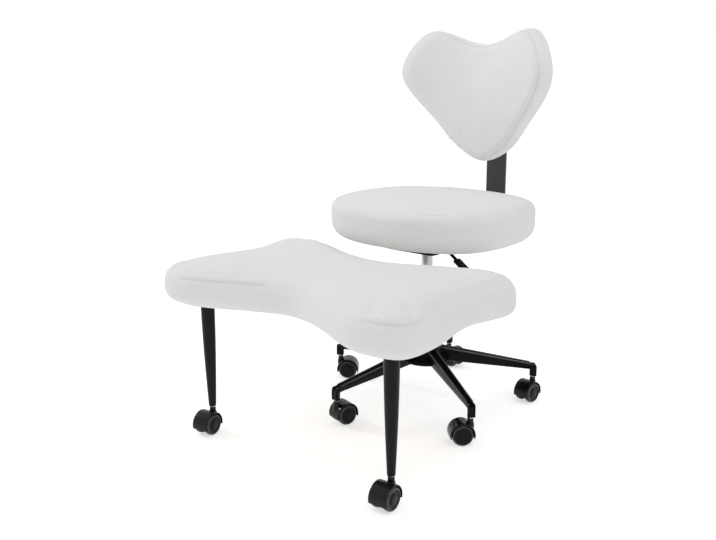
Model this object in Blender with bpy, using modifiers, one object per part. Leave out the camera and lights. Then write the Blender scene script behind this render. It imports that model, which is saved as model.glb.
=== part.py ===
"""Cross-legged office chair: a round seat on a gas lift, a heart-shaped back on one flat bar,
and a four-lobed footrest on two castered legs that swings round the gas-lift column.

Metres, +Z up, the sitter faces -Y. The origin is on the floor in the middle of the footprint.
"""
import math

import bmesh
import bpy
from mathutils import Matrix, Vector

# Fits
GAP = 0.0003             # between pieces that touch
PLAY = 0.0004            # radial play of a piece that turns or slides on another

# Casters
WHEEL_R = 0.025
WHEEL_W = 0.0155
WHEEL_EDGE = 0.0025      # chamfer of the tread's outer edge
WHEEL_PLAY = 0.0006      # between a wheel and the web beside it
AXLE_R = 0.003
AXLE_BITE = 0.010        # length of axle inside each wheel
WEB_W = 0.0105            # hood's middle web, between the wheels
HOOD_PLAY = 0.0014       # between the tread and the hood
HOOD_WALL = 0.0026
HOOD_DROP = 0.0075       # how far the hood reaches below the axle
TRAIL = 0.020            # swivel axis to axle
NECK_R = 0.007
NECK_H = 0.022           # length of the round neck
NECK_RISE = 0.0055       # neck above the hood's top
SHOULDER_W = 0.0125       # fin that joins the neck to the hood
SHOULDER_DROP = 0.007    # fin's top under the hood's top
SHOULDER_H = 0.017
STEM_R = 0.005           # upper part of the stem, in the arm or leg
STEM_UP = 0.020
PIN_R = 0.004            # lower part of the stem, in the neck
PIN_DOWN = 0.0105
COLLAR_R = 0.0062
COLLAR_H = 0.0026

# Star base
ARM_COUNT = 5
STEM_CIRCLE = 0.2742
FIRST_ARM = math.radians(40.0)
FOOT_H = 0.0323          # an arm's outer corner above its foot
ARM_DEEP_IN = 0.039      # arm's height at the hub side
ARM_DEEP_OUT = 0.0165
ARM_ROOT_W = 0.022
ARM_TIP_W = 0.0175
ARM_START = 0.022
ARM_EDGE = 0.004         # chamfer along an arm's top edges
ARM_SPREAD = 0.003       # extra width of an arm's underside
ARM_SKIN = 0.003         # wall round the channel under an arm
FOOT_SIZE = 0.0165       # radial size of the foot at an arm's end
CHANNEL_IN = 0.072
HUB_RISE = 0.0843        # hub's top above the feet
HUB_H = 0.039
HUB_TOP_R = 0.040
HUB_SKIRT_R = 0.060
HUB_SKIRT_H = 0.010
HUB_EDGE = 0.003         # chamfer round the hub's top
HUB_FLARE = 0.004        # how much the hub widens down to the arms

# Gas lift
TUBE_R = 0.025
TUBE_WALL = 0.002
TUBE_BELOW = 0.010       # tube's end under the hub
TUBE_SHOWS = 0.017       # tube above the swing arm's sleeve
TUBE_TAPER = 0.0012      # how much the tube narrows in the hub
TUBE_FLOOR = 0.003
BUSH_LENGTH = 0.080
BUSH_LIP = 0.0028
CYLINDER_R = 0.014
CYLINDER_ROOM = 0.0122   # between the rod's flange and the cylinder
CYLINDER_TAPER = 0.0008
CYLINDER_BORE = 0.200    # depth of the bore for the rod
ROD_R = 0.005
ROD_SHORT = 0.012        # rod's top under the end of that bore
ROD_FLANGE_R = 0.009
ROD_FLANGE_H = 0.003
ROD_TAIL = 0.004         # rod below the tube's floor
BEARING_R = 0.0105
BEARING_H = 0.0052
CLIP_R = 0.0095
CLIP_H = 0.0027
BUTTON_R = 0.004
BUTTON_LENGTH = 0.012
BUTTON_RISE = 0.0057     # button above the cylinder's top
BUTTON_TRAVEL = 0.0037

# Seat
SEAT_BOTTOM = 0.425
SEAT_H = 0.0925          # up to the edge of the crown
SEAT_CROWN = 0.0075
SEAT_HALF_W = 0.2460
SEAT_HALF_D = 0.2160
SEAT_POWER = 2.4
SEAT_BACK = 0.0157       # seat's centre behind the column
SEAT_TOP_ROUND = 0.023
SEAT_LOW_ROUND = 0.039
SEAT_BOARD_T = 0.012
SEAT_BOARD_IN = 0.040    # board's edge inside the cushion's
SEAM_DEPTH = 0.0022      # how far a sewn edge draws the cover in

# Seat plate and height lever
PLATE_HALF_W = 0.070
PLATE_HALF_D = 0.075
PLATE_H = 0.0235
PLATE_SHEET = 0.003
PLATE_CORNER = 0.012
SOCKET_R = 0.022
SOCKET_H = 0.034
LEVER_TURN = math.radians(-13.0)
LEVER_FALL = math.radians(12.4)
LEVER_R = 0.004
LEVER_PIVOT = 0.0285     # lever's pivot from the column axis
LEVER_PAST = 0.002       # lever's inner end past the column axis
LEVER_BEND_AT = 0.055    # from the pivot to the bend outside the plate
LEVER_BEND = math.radians(16.0)
LEVER_OUTER = 0.062      # from the bend out, into the grip
LEVER_SIDE = 0.0008      # play beside the rod in its slot
LEVER_ROOM = 0.0162      # between the cylinder's top and the plate's sheet
GRIP_START = 0.0265      # from the bend to the grip
GRIP_LENGTH = 0.056
GRIP_ROOT_W = 0.022
GRIP_TIP_W = 0.025
GRIP_T = 0.010
GRIP_TIP_T = 0.007

# Back
BAR_W = 0.058
BAR_T = 0.007
BAR_Y = 0.311            # bar's middle behind the column
BAR_BEND = 0.030
BAR_BEHIND = 0.008       # bar's end under the seat, behind the plate
BAR_CRANK_LOW = 0.0325   # crank and end of the bar, above the heart's tip
BAR_CRANK_HIGH = 0.1075
BAR_END = 0.2225
BACK_REAR = 0.263        # back cushion's rear face behind the column
BACK_WRAP = 0.360        # radius that the back is bent to
BACK_T = 0.049
BACK_CROWN = 0.014
BACK_ROUND = 0.030
BACK_REAR_ROUND = 0.010
BACK_BOARD_T = 0.012
BACK_BOARD_SHARE = 0.84  # board's size within the cushion's flat rear face
HEART_CLEAR = 0.0726     # heart's tip above the seat's edge
HEART_NOTCH = 0.2945     # heights of the heart's points above its tip
HEART_LOBE_X = 0.1691
HEART_LOBE_Z = 0.3262
HEART_SIDE_X = 0.2436
HEART_SIDE_Z = 0.2219
HEART_SLOPE_X = 0.1445
HEART_SLOPE_Z = 0.1000
HEART_LOW_X = 0.0803
HEART_LOW_Z = 0.0344
HEART_MIDDLE = 0.1675

# Footrest
REST_AHEAD = 0.335       # footrest's centre ahead of the column
REST_BOTTOM = 0.3242
REST_H = 0.0848          # up to the edge of the crown
REST_CROWN = 0.004
REST_WAIST = 0.149       # half depth at the middle
REST_LOBE_Y = 0.227      # half depth at the lobes
REST_FRONT_LOBE_X = 0.227
REST_REAR_LOBE_X = 0.273
REST_CORNER_X = 0.344
REST_FRONT_CORNER_Y = 0.2025
REST_REAR_CORNER_Y = 0.172
REST_SIDE_X = 0.338
REST_SIDE_Y = 0.034
REST_TOP_ROUND = 0.044
REST_LOW_ROUND = 0.026
REST_BOARD_T = 0.012
REST_BOARD_IN = 0.034

# Footrest legs and swing arm
LEG_X = 0.268
LEG_AHEAD = 0.477
LEG_TOP_R = 0.016
LEG_FOOT_R = 0.0085
LEG_PLATE_R = 0.034
LEG_PLATE_T = 0.005
SLEEVE_WALL = 0.003
SLEEVE_BUSH_WALL = 0.003
SLEEVE_BUSH_H = 0.022
SLEEVE_LIP = 0.003
SLEEVE_DROP = 0.0099     # sleeve's top under the footrest's board
SWING_BAR_W = 0.040
SWING_BAR_H = 0.025
SWING_BAR_WALL = 0.002
SWING_BAR_END = 0.335    # front end of the bar and its plate, ahead of the column
SWING_PLATE_W = 0.200
SWING_PLATE_D = 0.108
SWING_PLATE_T = 0.004
GUSSET_T = 0.006
GUSSET_REACH = 0.150
GUSSET_FOOT = 0.175

# Casters' directions, as the chair was left standing
BASE_CASTER_TURNS = [math.radians(a) for a in (-97, -134, 75, 36, -8)]
LEFT_CASTER_TURN = math.radians(-86)
RIGHT_CASTER_TURN = math.radians(-80)

# Facets
ROUND = 28
HUB_SIDES = 30
SMALL_ROUND = 16
HOOD_SIDES = 24
WHEEL_SIDES = 24
STEM_SIDES = 10
LEG_SIDES = 20
CUSHION_SIDES = 48
REST_SIDES = 80

# Sizes that follow from the ones above
HOOD_R = WHEEL_R + HOOD_PLAY + HOOD_WALL
HOOD_TOP = WHEEL_R + HOOD_R
NECK_TOP = HOOD_TOP + NECK_RISE
SHOULDER_TOP = HOOD_TOP - SHOULDER_DROP
COLLAR_BOTTOM = NECK_TOP + GAP
FOOT_Z = COLLAR_BOTTOM + COLLAR_H + GAP
HOOD_W = WEB_W + 2 * (WHEEL_PLAY + WHEEL_W)
ARM_END = STEM_CIRCLE + FOOT_SIZE / 2
HUB_TOP = FOOT_Z + HUB_RISE
HUB_BOTTOM = HUB_TOP - HUB_H
TUBE_BOTTOM = HUB_BOTTOM - TUBE_BELOW
ROD_SHOULDER = TUBE_BOTTOM + TUBE_FLOOR + GAP + BEARING_H + GAP
CYLINDER_BOTTOM = ROD_SHOULDER + ROD_FLANGE_H + CYLINDER_ROOM
CYLINDER_BORE_TOP = CYLINDER_BOTTOM + CYLINDER_BORE
ROD_TOP = CYLINDER_BORE_TOP - ROD_SHORT
SEAT_RIM = SEAT_BOTTOM + SEAT_H
HEART_TIP = SEAT_RIM + HEART_CLEAR
REST_RIM = REST_BOTTOM + REST_H
REAR_REACH = BAR_Y + BAR_T / 2
PLATE_TOP = SEAT_BOTTOM - GAP
BAR_Z = SEAT_BOTTOM - GAP - BAR_T / 2
CYLINDER_TOP = PLATE_TOP - PLATE_SHEET - LEVER_ROOM
SOCKET_BOTTOM = PLATE_TOP - SOCKET_H
BUTTON_TOP = CYLINDER_TOP + BUTTON_RISE
LEVER_Z = BUTTON_TOP + GAP + (LEVER_R + BUTTON_R * math.sin(LEVER_FALL)) / math.cos(LEVER_FALL)
SWING_TOP = REST_BOTTOM - GAP
SLEEVE_TOP = SWING_TOP - SLEEVE_DROP
TUBE_TOP = SLEEVE_TOP + TUBE_SHOWS
SLEEVE_BORE = TUBE_R + PLAY + SLEEVE_BUSH_WALL + GAP
SLEEVE_R = SLEEVE_BORE + SLEEVE_WALL
SLEEVE_BOTTOM = HUB_TOP + GAP + SLEEVE_LIP + GAP


def new_collection(name):
    collection = bpy.data.collections.new(name)
    bpy.context.scene.collection.children.link(collection)
    return collection


def material(name, colour, roughness, metallic=0.0):
    mat = bpy.data.materials.new(name)
    mat.use_nodes = True
    shader = mat.node_tree.nodes["Principled BSDF"]
    shader.inputs["Base Color"].default_value = (*colour, 1.0)
    shader.inputs["Roughness"].default_value = roughness
    shader.inputs["Metallic"].default_value = metallic
    return mat


def empty(name, location, turn=0.0, parent=None):
    frame = bpy.data.objects.new(name, None)
    frame.location = location
    frame.rotation_euler = (0, 0, turn)
    frame.parent = parent
    PARTS.objects.link(frame)
    return frame


def add(name, mesh, mat=None, parent=None, matrix=None):
    """Make an object of a mesh: a part where it has a material, or else a cutter."""
    obj = bpy.data.objects.new(name, mesh)
    obj.parent = parent
    if matrix is not None:
        obj.matrix_local = matrix
    if mat is None:
        CUTTERS.objects.link(obj)
        obj.hide_render = True
        obj.display_type = "WIRE"
    else:
        PARTS.objects.link(obj)
        if not mesh.materials:
            mesh.materials.append(mat)
    return obj


def baked(obj):
    """Take an object's evaluated mesh where it stands, with loose caps welded, and remove the object."""
    bpy.context.view_layer.update()
    graph = bpy.context.evaluated_depsgraph_get()
    mesh = bpy.data.meshes.new_from_object(obj.evaluated_get(graph))
    mesh.transform(obj.matrix_world)
    bm = bmesh.new()
    bm.from_mesh(mesh)
    bmesh.ops.remove_doubles(bm, verts=bm.verts, dist=1e-6)
    bm.to_mesh(mesh)
    bm.free()
    bpy.data.objects.remove(obj)
    return mesh


def boolean(obj, other, operation="DIFFERENCE"):
    step = obj.modifiers.new(other.name, "BOOLEAN")
    step.operation = operation
    step.solver = "EXACT"
    step.object = other


def mesh_from(bm, name):
    mesh = bpy.data.meshes.new(name)
    bm.to_mesh(mesh)
    bm.free()
    return mesh


def cylinder_mesh(name, radius, low, high, sides):
    bm = bmesh.new()
    bmesh.ops.create_cone(bm, cap_ends=True, segments=sides, radius1=radius, radius2=radius, depth=high - low)
    bmesh.ops.translate(bm, verts=bm.verts, vec=(0, 0, (low + high) / 2))
    return mesh_from(bm, name)


def box_mesh(name, low, high):
    low = Vector(low)
    high = Vector(high)
    bm = bmesh.new()
    bmesh.ops.create_cube(bm, size=1.0)
    bmesh.ops.scale(bm, verts=bm.verts, vec=high - low)
    bmesh.ops.translate(bm, verts=bm.verts, vec=(low + high) / 2)
    return mesh_from(bm, name)


def profile_mesh(name, points, ring=False):
    """A turned shape's half profile, from its top down the outer side."""
    mesh = bpy.data.meshes.new(name)
    edges = [(i, i + 1) for i in range(len(points) - 1)]
    if ring:
        edges.append((len(points) - 1, 0))
    mesh.from_pydata([(r, 0, z) for r, z in points], edges, [])
    return mesh


def turn(obj, steps):
    screw = obj.modifiers.new("turn", "SCREW")
    screw.axis = "Z"
    screw.steps = steps
    screw.render_steps = steps
    screw.use_merge_vertices = True
    screw.merge_threshold = 1e-5
    return obj


def plate_mesh(name, outline, low, high):
    """A flat outline extruded between two heights."""
    curve = bpy.data.curves.new(name, "CURVE")
    curve.dimensions = "2D"
    curve.fill_mode = "BOTH"
    curve.extrude = (high - low) / 2
    spline = curve.splines.new("POLY")
    spline.points.add(len(outline) - 1)
    for point, (x, y) in zip(spline.points, outline):
        point.co = (x, y, 0, 1)
    spline.use_cyclic_u = True
    obj = bpy.data.objects.new(name, curve)
    CUTTERS.objects.link(obj)
    mesh = baked(obj)
    mesh.transform(Matrix.Translation((0, 0, (low + high) / 2)))
    return mesh


def loft_mesh(name, rings, low_pole=None, high_pole=None):
    """Skin a stack of rings, each end closed flat or drawn to a pole."""
    bm = bmesh.new()
    rows = [[bm.verts.new(p) for p in ring] for ring in rings]
    count = len(rows[0])
    for low, high in zip(rows, rows[1:]):
        for i in range(count):
            j = (i + 1) % count
            bm.faces.new((low[i], low[j], high[j], high[i]))
    for row, pole, flip in ((rows[0], low_pole, True), (rows[-1], high_pole, False)):
        if pole is None:
            bm.faces.new(row[::-1] if flip else row)
            continue
        tip = bm.verts.new(pole)
        for i in range(count):
            edge = (row[(i + 1) % count], row[i]) if flip else (row[i], row[(i + 1) % count])
            bm.faces.new((*edge, tip))
    bmesh.ops.recalc_face_normals(bm, faces=bm.faces)
    quads = [face for face in bm.faces if len(face.verts) == 4]
    bmesh.ops.triangulate(bm, faces=quads, quad_method="SHORT_EDGE")
    for face in bm.faces:
        face.smooth = True
    return mesh_from(bm, name)


def superellipse(half_x, half_y, power, count):
    points = []
    for i in range(count):
        angle = 2 * math.pi * i / count
        c = math.cos(angle)
        s = math.sin(angle)
        reach = (abs(c / half_x) ** power + abs(s / half_y) ** power) ** (-1 / power)
        points.append(Vector((reach * c, reach * s)))
    return points


def smooth_loop(points, count):
    """A closed smooth curve through points, as count points spread evenly along it."""
    points = [Vector(p) for p in points]
    total = len(points)
    span = [(points[(i + 1) % total] - points[i]).length ** 0.5 for i in range(total)]
    fine = []
    for i in range(total):
        before = points[i - 1]
        here = points[i]
        there = points[(i + 1) % total]
        after = points[(i + 2) % total]
        h0 = span[i - 1]
        h1 = span[i]
        h2 = span[(i + 1) % total]
        out = ((here - before) / h0 * h1 + (there - here) / h1 * h0) / (h0 + h1) * h1
        into = ((there - here) / h1 * h2 + (after - there) / h2 * h1) / (h1 + h2) * h1
        for k in range(24):
            t = k / 24
            fine.append(here * (2 * t**3 - 3 * t**2 + 1) + out * (t**3 - 2 * t**2 + t)
                        + there * (3 * t**2 - 2 * t**3) + into * (t**3 - t**2))
    steps = [(fine[(i + 1) % len(fine)] - fine[i]).length for i in range(len(fine))]
    pitch = sum(steps) / count
    loop = []
    walked = 0.0
    for point, step, following in zip(fine, steps, fine[1:] + fine[:1]):
        while len(loop) < count and len(loop) * pitch <= walked + step:
            loop.append(point.lerp(following, (len(loop) * pitch - walked) / step))
        walked += step
    return loop


def mirrored(half):
    """A closed outline from the points of its +X half, first and last on the middle line."""
    return half + [(-x, y) for x, y in half[-2:0:-1]]


def inset(loop, distance):
    """Move an anticlockwise loop inward along its normals."""
    moved = []
    for i, point in enumerate(loop):
        along = (loop[(i + 1) % len(loop)] - loop[i - 1]).normalized()
        moved.append(point + Vector((-along.y, along.x)) * distance)
    return moved


def drawn_to(loop, centre, share):
    return [Vector(centre).lerp(point, share) for point in loop]


def edge_profile(low, high, low_round, top_round, seam):
    """(inset, height) steps up a cushion's edge: tucked under, drawn in at the sewn edges, rounded over."""
    steps = []
    for k in range(4):
        angle = math.radians(90 - 30 * k)
        steps.append((low_round * (1 - math.cos(angle)), low + low_round * (1 - math.sin(angle))))
    for k in range(5):
        angle = math.radians(22.5 * k)
        drawn = seam if k == 1 else 0.0
        steps.append((drawn + top_round * (1 - math.cos(angle)), high - top_round * (1 - math.sin(angle))))
    return steps


def cushion_mesh(name, loop, centre, pocket, steps, rim, crown):
    """Rings round the board's pocket, up a cushion's edge, then in over its crown."""
    rings = [[(p.x, p.y, z) for p in inset(loop, d)] for d, z in pocket + steps]
    flat = inset(loop, steps[-1][0])
    for share, rise in ((0.72, 0.5), (0.36, 0.9)):
        rings.append([(p.x, p.y, rim + crown * rise) for p in drawn_to(flat, centre, share)])
    return loft_mesh(name, rings, high_pole=(*centre, rim + crown))


def path_outline(path, thickness):
    """The closed outline of a bar of even thickness along a path."""
    left = []
    right = []
    for i, point in enumerate(path):
        along = (path[min(i + 1, len(path) - 1)] - path[max(i - 1, 0)]).normalized()
        side = Vector((-along.y, along.x)) * thickness / 2
        left.append(point + side)
        right.append(point - side)
    return left + right[::-1]


def make_caster(label, location, heading, stem_parent):
    """One hooded twin-wheel caster. Its stem belongs to the arm or leg above."""
    stem = [
        (0, COLLAR_BOTTOM + COLLAR_H + STEM_UP),
        (STEM_R, COLLAR_BOTTOM + COLLAR_H + STEM_UP),
        (STEM_R, COLLAR_BOTTOM + COLLAR_H),
        (COLLAR_R, COLLAR_BOTTOM + COLLAR_H),
        (COLLAR_R, COLLAR_BOTTOM),
        (PIN_R, COLLAR_BOTTOM),
        (PIN_R, COLLAR_BOTTOM - PIN_DOWN),
        (0, COLLAR_BOTTOM - PIN_DOWN),
    ]
    at = Matrix.Translation(location)
    turn(add(f"{label}_stem", profile_mesh("stem", stem), ZINC, stem_parent, at), STEM_SIDES)
    swivel = empty(f"{label}_swivel", location, heading, stem_parent)
    add(f"{label}_hood", HOOD_MESH, HOOD_PLASTIC, swivel)
    axle_frame = empty(f"{label}_axle_line", (TRAIL, 0, WHEEL_R), 0, swivel)
    across = Matrix.Rotation(math.radians(-90), 4, "X")
    add(f"{label}_axle", AXLE_MESH, ZINC, axle_frame, across)
    wheel = [
        (0, WHEEL_W),
        (WHEEL_R - WHEEL_EDGE, WHEEL_W),
        (WHEEL_R, WHEEL_W - WHEEL_EDGE),
        (WHEEL_R, 0),
        (AXLE_R + PLAY, 0),
        (AXLE_R + PLAY, AXLE_BITE),
        (0, AXLE_BITE),
    ]
    for side, quarter in (("a", -90), ("b", 90)):
        outward = Matrix.Rotation(math.radians(quarter), 4, "X")
        seat = outward @ Matrix.Translation((0, 0, WEB_W / 2 + WHEEL_PLAY))
        turn(add(f"{label}_wheel_{side}", profile_mesh("wheel", wheel), TYRE, axle_frame, seat), WHEEL_SIDES)


def make_hood_mesh():
    """Hood over both wheels, with the web between them and the neck that takes the stem."""
    across = Matrix.Translation((TRAIL, 0, WHEEL_R)) @ Matrix.Rotation(math.radians(-90), 4, "X")
    shell = add("hood", cylinder_mesh("hood", HOOD_R, -HOOD_W / 2, HOOD_W / 2, HOOD_SIDES), HOOD_PLASTIC, None, across)
    below = WHEEL_R - HOOD_DROP
    fin_low = SHOULDER_TOP - SHOULDER_H
    fin = [(0, fin_low), (TRAIL, fin_low), (TRAIL, SHOULDER_TOP), (0, SHOULDER_TOP)]
    upright = Matrix.Rotation(math.radians(90), 4, "X")
    helpers = [
        (add("hood_open", box_mesh("hood_open", (TRAIL - 2 * HOOD_R, -HOOD_W, below - 2 * HOOD_R),
                                   (TRAIL + 2 * HOOD_R, HOOD_W, below))), "DIFFERENCE"),
        (add("hood_fin", plate_mesh("hood_fin", fin, -SHOULDER_W / 2, SHOULDER_W / 2), None, None, upright), "UNION"),
        (add("hood_neck", cylinder_mesh("hood_neck", NECK_R, NECK_TOP - NECK_H, NECK_TOP, SMALL_ROUND)), "UNION"),
    ]
    for side in (-1, 1):
        inner = side * WEB_W / 2
        outer = side * HOOD_W
        pocket = cylinder_mesh("wheel_pocket", WHEEL_R + HOOD_PLAY, min(inner, outer), max(inner, outer), HOOD_SIDES)
        helpers.append((add("wheel_pocket", pocket, None, None, across), "DIFFERENCE"))
    axle_hole = cylinder_mesh("axle_hole", AXLE_R + PLAY, -HOOD_W, HOOD_W, SMALL_ROUND)
    helpers.append((add("axle_hole", axle_hole, None, None, across), "DIFFERENCE"))
    socket = cylinder_mesh("stem_socket", PIN_R + PLAY, COLLAR_BOTTOM - PIN_DOWN - GAP, NECK_TOP + HOOD_WALL,
                           SMALL_ROUND)
    helpers.append((add("stem_socket", socket), "DIFFERENCE"))
    for helper, operation in helpers:
        boolean(shell, helper, operation)
    mesh = baked(shell)
    for helper, _ in helpers:
        bpy.data.objects.remove(helper)
    return mesh


def arm_section(reach_top, top, reach_low, low, width):
    """A cross-section of a base arm: trapezium with chamfered top edges."""
    high = Vector((reach_top, 0, top))
    deep = Vector((reach_low, 0, low))
    side = high.lerp(deep, ARM_EDGE / (deep - high).length)
    half = width / 2
    corners = [(deep, -half - ARM_SPREAD / 2), (deep, half + ARM_SPREAD / 2), (side, half),
               (high, half - ARM_EDGE), (high, ARM_EDGE - half), (side, -half)]
    return [point + Vector((0, across, 0)) for point, across in corners]


def arm_at(reach):
    """Top height, depth and width of an arm at a distance from the column."""
    along = (reach - ARM_START) / (ARM_END - ARM_START)
    top = HUB_TOP + (FOOT_Z + FOOT_H - HUB_TOP) * along
    deep = ARM_DEEP_IN + (ARM_DEEP_OUT - ARM_DEEP_IN) * along
    width = ARM_TIP_W + (ARM_ROOT_W - ARM_TIP_W) * (1 - along) ** 3
    return top, deep, width


def arm_mesh():
    """A tapered arm that bends sharply down to the foot over its caster."""
    inner_corner = ARM_END - FOOT_SIZE
    sections = []
    for k in range(6):
        reach = ARM_START + (inner_corner - ARM_START) * k / 6
        top, deep, width = arm_at(reach)
        sections.append(arm_section(reach, top, reach, top - deep, width))
    top, deep, width = arm_at(ARM_END)
    sections.append(arm_section(ARM_END, top, inner_corner, top - deep, width))
    sections.append(arm_section(ARM_END, FOOT_Z, inner_corner, FOOT_Z, width))
    return loft_mesh("arm", sections)


def channel_mesh():
    """The hollow under an arm."""
    sections = []
    for k in range(4):
        reach = CHANNEL_IN + (ARM_END - 2 * FOOT_SIZE - CHANNEL_IN) * k / 3
        top, deep, width = arm_at(reach)
        half = width / 2 - ARM_SKIN
        low = top - 2 * deep
        high = top - ARM_SKIN - ARM_EDGE / 2
        sections.append([Vector((reach, y, z)) for y, z in ((-half, low), (half, low), (half, high), (-half, high))])
    return loft_mesh("channel", sections)


def make_base():
    hub = [
        (0, HUB_TOP),
        (HUB_TOP_R - HUB_EDGE, HUB_TOP),
        (HUB_TOP_R, HUB_TOP - HUB_EDGE),
        (HUB_TOP_R + HUB_FLARE, (HUB_TOP + HUB_BOTTOM) / 2),
        (HUB_SKIRT_R, HUB_BOTTOM + HUB_SKIRT_H),
        (HUB_SKIRT_R, HUB_BOTTOM),
        (0, HUB_BOTTOM),
    ]
    base = turn(add("star_base", profile_mesh("hub", hub), BLACK_NYLON, COLUMN), HUB_SIDES)
    arm = arm_mesh()
    channel = channel_mesh()
    bore = cylinder_mesh("stem_bore", STEM_R + PLAY, FOOT_Z - ARM_EDGE, FOOT_Z + STEM_UP, SMALL_ROUND)
    turns = [Matrix.Rotation(FIRST_ARM - 2 * math.pi * i / ARM_COUNT, 4, "Z") for i in range(ARM_COUNT)]
    for i, spoke in enumerate(turns):
        boolean(base, add(f"arm_{i + 1}", arm, None, COLUMN, spoke), "UNION")
    seat = [
        (0, HUB_TOP + TUBE_R),
        (TUBE_R + GAP, HUB_TOP + TUBE_R),
        (TUBE_R + GAP, HUB_TOP),
        (tube_radius(HUB_BOTTOM) + GAP, HUB_BOTTOM),
        (tube_radius(HUB_BOTTOM) + GAP, HUB_BOTTOM - TUBE_R),
        (0, HUB_BOTTOM - TUBE_R),
    ]
    boolean(base, turn(add("tube_seat", profile_mesh("tube_seat", seat), None, COLUMN), ROUND))
    for i, spoke in enumerate(turns):
        boolean(base, add(f"channel_{i + 1}", channel, None, COLUMN, spoke))
        boolean(base, add(f"stem_bore_{i + 1}", bore, None, COLUMN, spoke @ Matrix.Translation((STEM_CIRCLE, 0, 0))))
    for i, heading in enumerate(BASE_CASTER_TURNS):
        angle = FIRST_ARM - 2 * math.pi * i / ARM_COUNT
        place = (STEM_CIRCLE * math.cos(angle), STEM_CIRCLE * math.sin(angle), 0)
        make_caster(f"caster_{i + 1}", place, heading, COLUMN)


def tube_radius(height):
    """Outer radius of the gas-lift tube, which narrows inside the hub."""
    into = min(max((HUB_TOP - height) / (HUB_TOP - TUBE_BOTTOM), 0), 1)
    return TUBE_R - TUBE_TAPER * into


def make_gas_lift():
    floor = TUBE_BOTTOM + TUBE_FLOOR
    bore = TUBE_R - TUBE_WALL
    hole = ROD_R + 2 * PLAY
    tube = [
        (TUBE_R, TUBE_TOP),
        (TUBE_R, HUB_TOP),
        (TUBE_R - TUBE_TAPER, TUBE_BOTTOM),
        (hole, TUBE_BOTTOM),
        (hole, floor),
        (bore - TUBE_TAPER, floor),
        (bore, HUB_TOP),
        (bore, TUBE_TOP),
    ]
    turn(add("column_tube", profile_mesh("tube", tube, ring=True), BLACK_STEEL, COLUMN), ROUND)
    guide = CYLINDER_R + PLAY
    bush = [
        (guide, TUBE_TOP + GAP + BUSH_LIP),
        (TUBE_R - GAP, TUBE_TOP + GAP + BUSH_LIP),
        (TUBE_R - GAP, TUBE_TOP + GAP),
        (bore - GAP, TUBE_TOP + GAP),
        (bore - GAP, TUBE_TOP - BUSH_LENGTH),
        (guide, TUBE_TOP - BUSH_LENGTH),
    ]
    turn(add("column_bush", profile_mesh("bush", bush, ring=True), BLACK_NYLON, COLUMN), ROUND)
    bearing = [
        (ROD_R + PLAY, floor + GAP + BEARING_H),
        (BEARING_R, floor + GAP + BEARING_H),
        (BEARING_R, floor + GAP),
        (ROD_R + PLAY, floor + GAP),
    ]
    turn(add("thrust_bearing", profile_mesh("bearing", bearing, ring=True), ZINC, COLUMN), SMALL_ROUND)
    rod = [
        (0, ROD_TOP),
        (ROD_R, ROD_TOP),
        (ROD_R, ROD_SHOULDER + ROD_FLANGE_H),
        (ROD_FLANGE_R, ROD_SHOULDER + ROD_FLANGE_H),
        (ROD_FLANGE_R, ROD_SHOULDER),
        (ROD_R, ROD_SHOULDER),
        (ROD_R, TUBE_BOTTOM - ROD_TAIL),
        (0, TUBE_BOTTOM - ROD_TAIL),
    ]
    turn(add("piston_rod", profile_mesh("rod", rod), ZINC, COLUMN), SMALL_ROUND)
    clip = [
        (ROD_R + GAP, TUBE_BOTTOM - GAP),
        (CLIP_R, TUBE_BOTTOM - GAP),
        (CLIP_R, TUBE_BOTTOM - GAP - CLIP_H),
        (ROD_R + GAP, TUBE_BOTTOM - GAP - CLIP_H),
    ]
    turn(add("rod_clip", profile_mesh("clip", clip, ring=True), ZINC, COLUMN), SMALL_ROUND)
    well = BUTTON_TOP - BUTTON_LENGTH - BUTTON_TRAVEL - GAP
    cylinder = [
        (0, well),
        (BUTTON_R + GAP, well),
        (BUTTON_R + GAP, CYLINDER_TOP),
        (CYLINDER_R - CYLINDER_TAPER, CYLINDER_TOP),
        (CYLINDER_R, SOCKET_BOTTOM),
        (CYLINDER_R, CYLINDER_BOTTOM),
        (ROD_R + PLAY, CYLINDER_BOTTOM),
        (ROD_R + PLAY, CYLINDER_BORE_TOP),
        (0, CYLINDER_BORE_TOP),
    ]
    turn(add("gas_cylinder", profile_mesh("cylinder", cylinder), CHROME, COLUMN), ROUND)
    button = cylinder_mesh("button", BUTTON_R, -BUTTON_LENGTH, 0, SMALL_ROUND)
    add("release_button", button, ZINC, COLUMN, Matrix.Translation((0, 0, BUTTON_TOP)))


def rounded_rectangle(half_x, half_y, corner):
    outline = []
    for cx, cy, start in ((1, 1, 0), (-1, 1, 90), (-1, -1, 180), (1, -1, 270)):
        for k in range(4):
            angle = math.radians(start + 30 * k)
            outline.append((cx * (half_x - corner) + corner * math.cos(angle),
                            cy * (half_y - corner) + corner * math.sin(angle)))
    return outline


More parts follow.
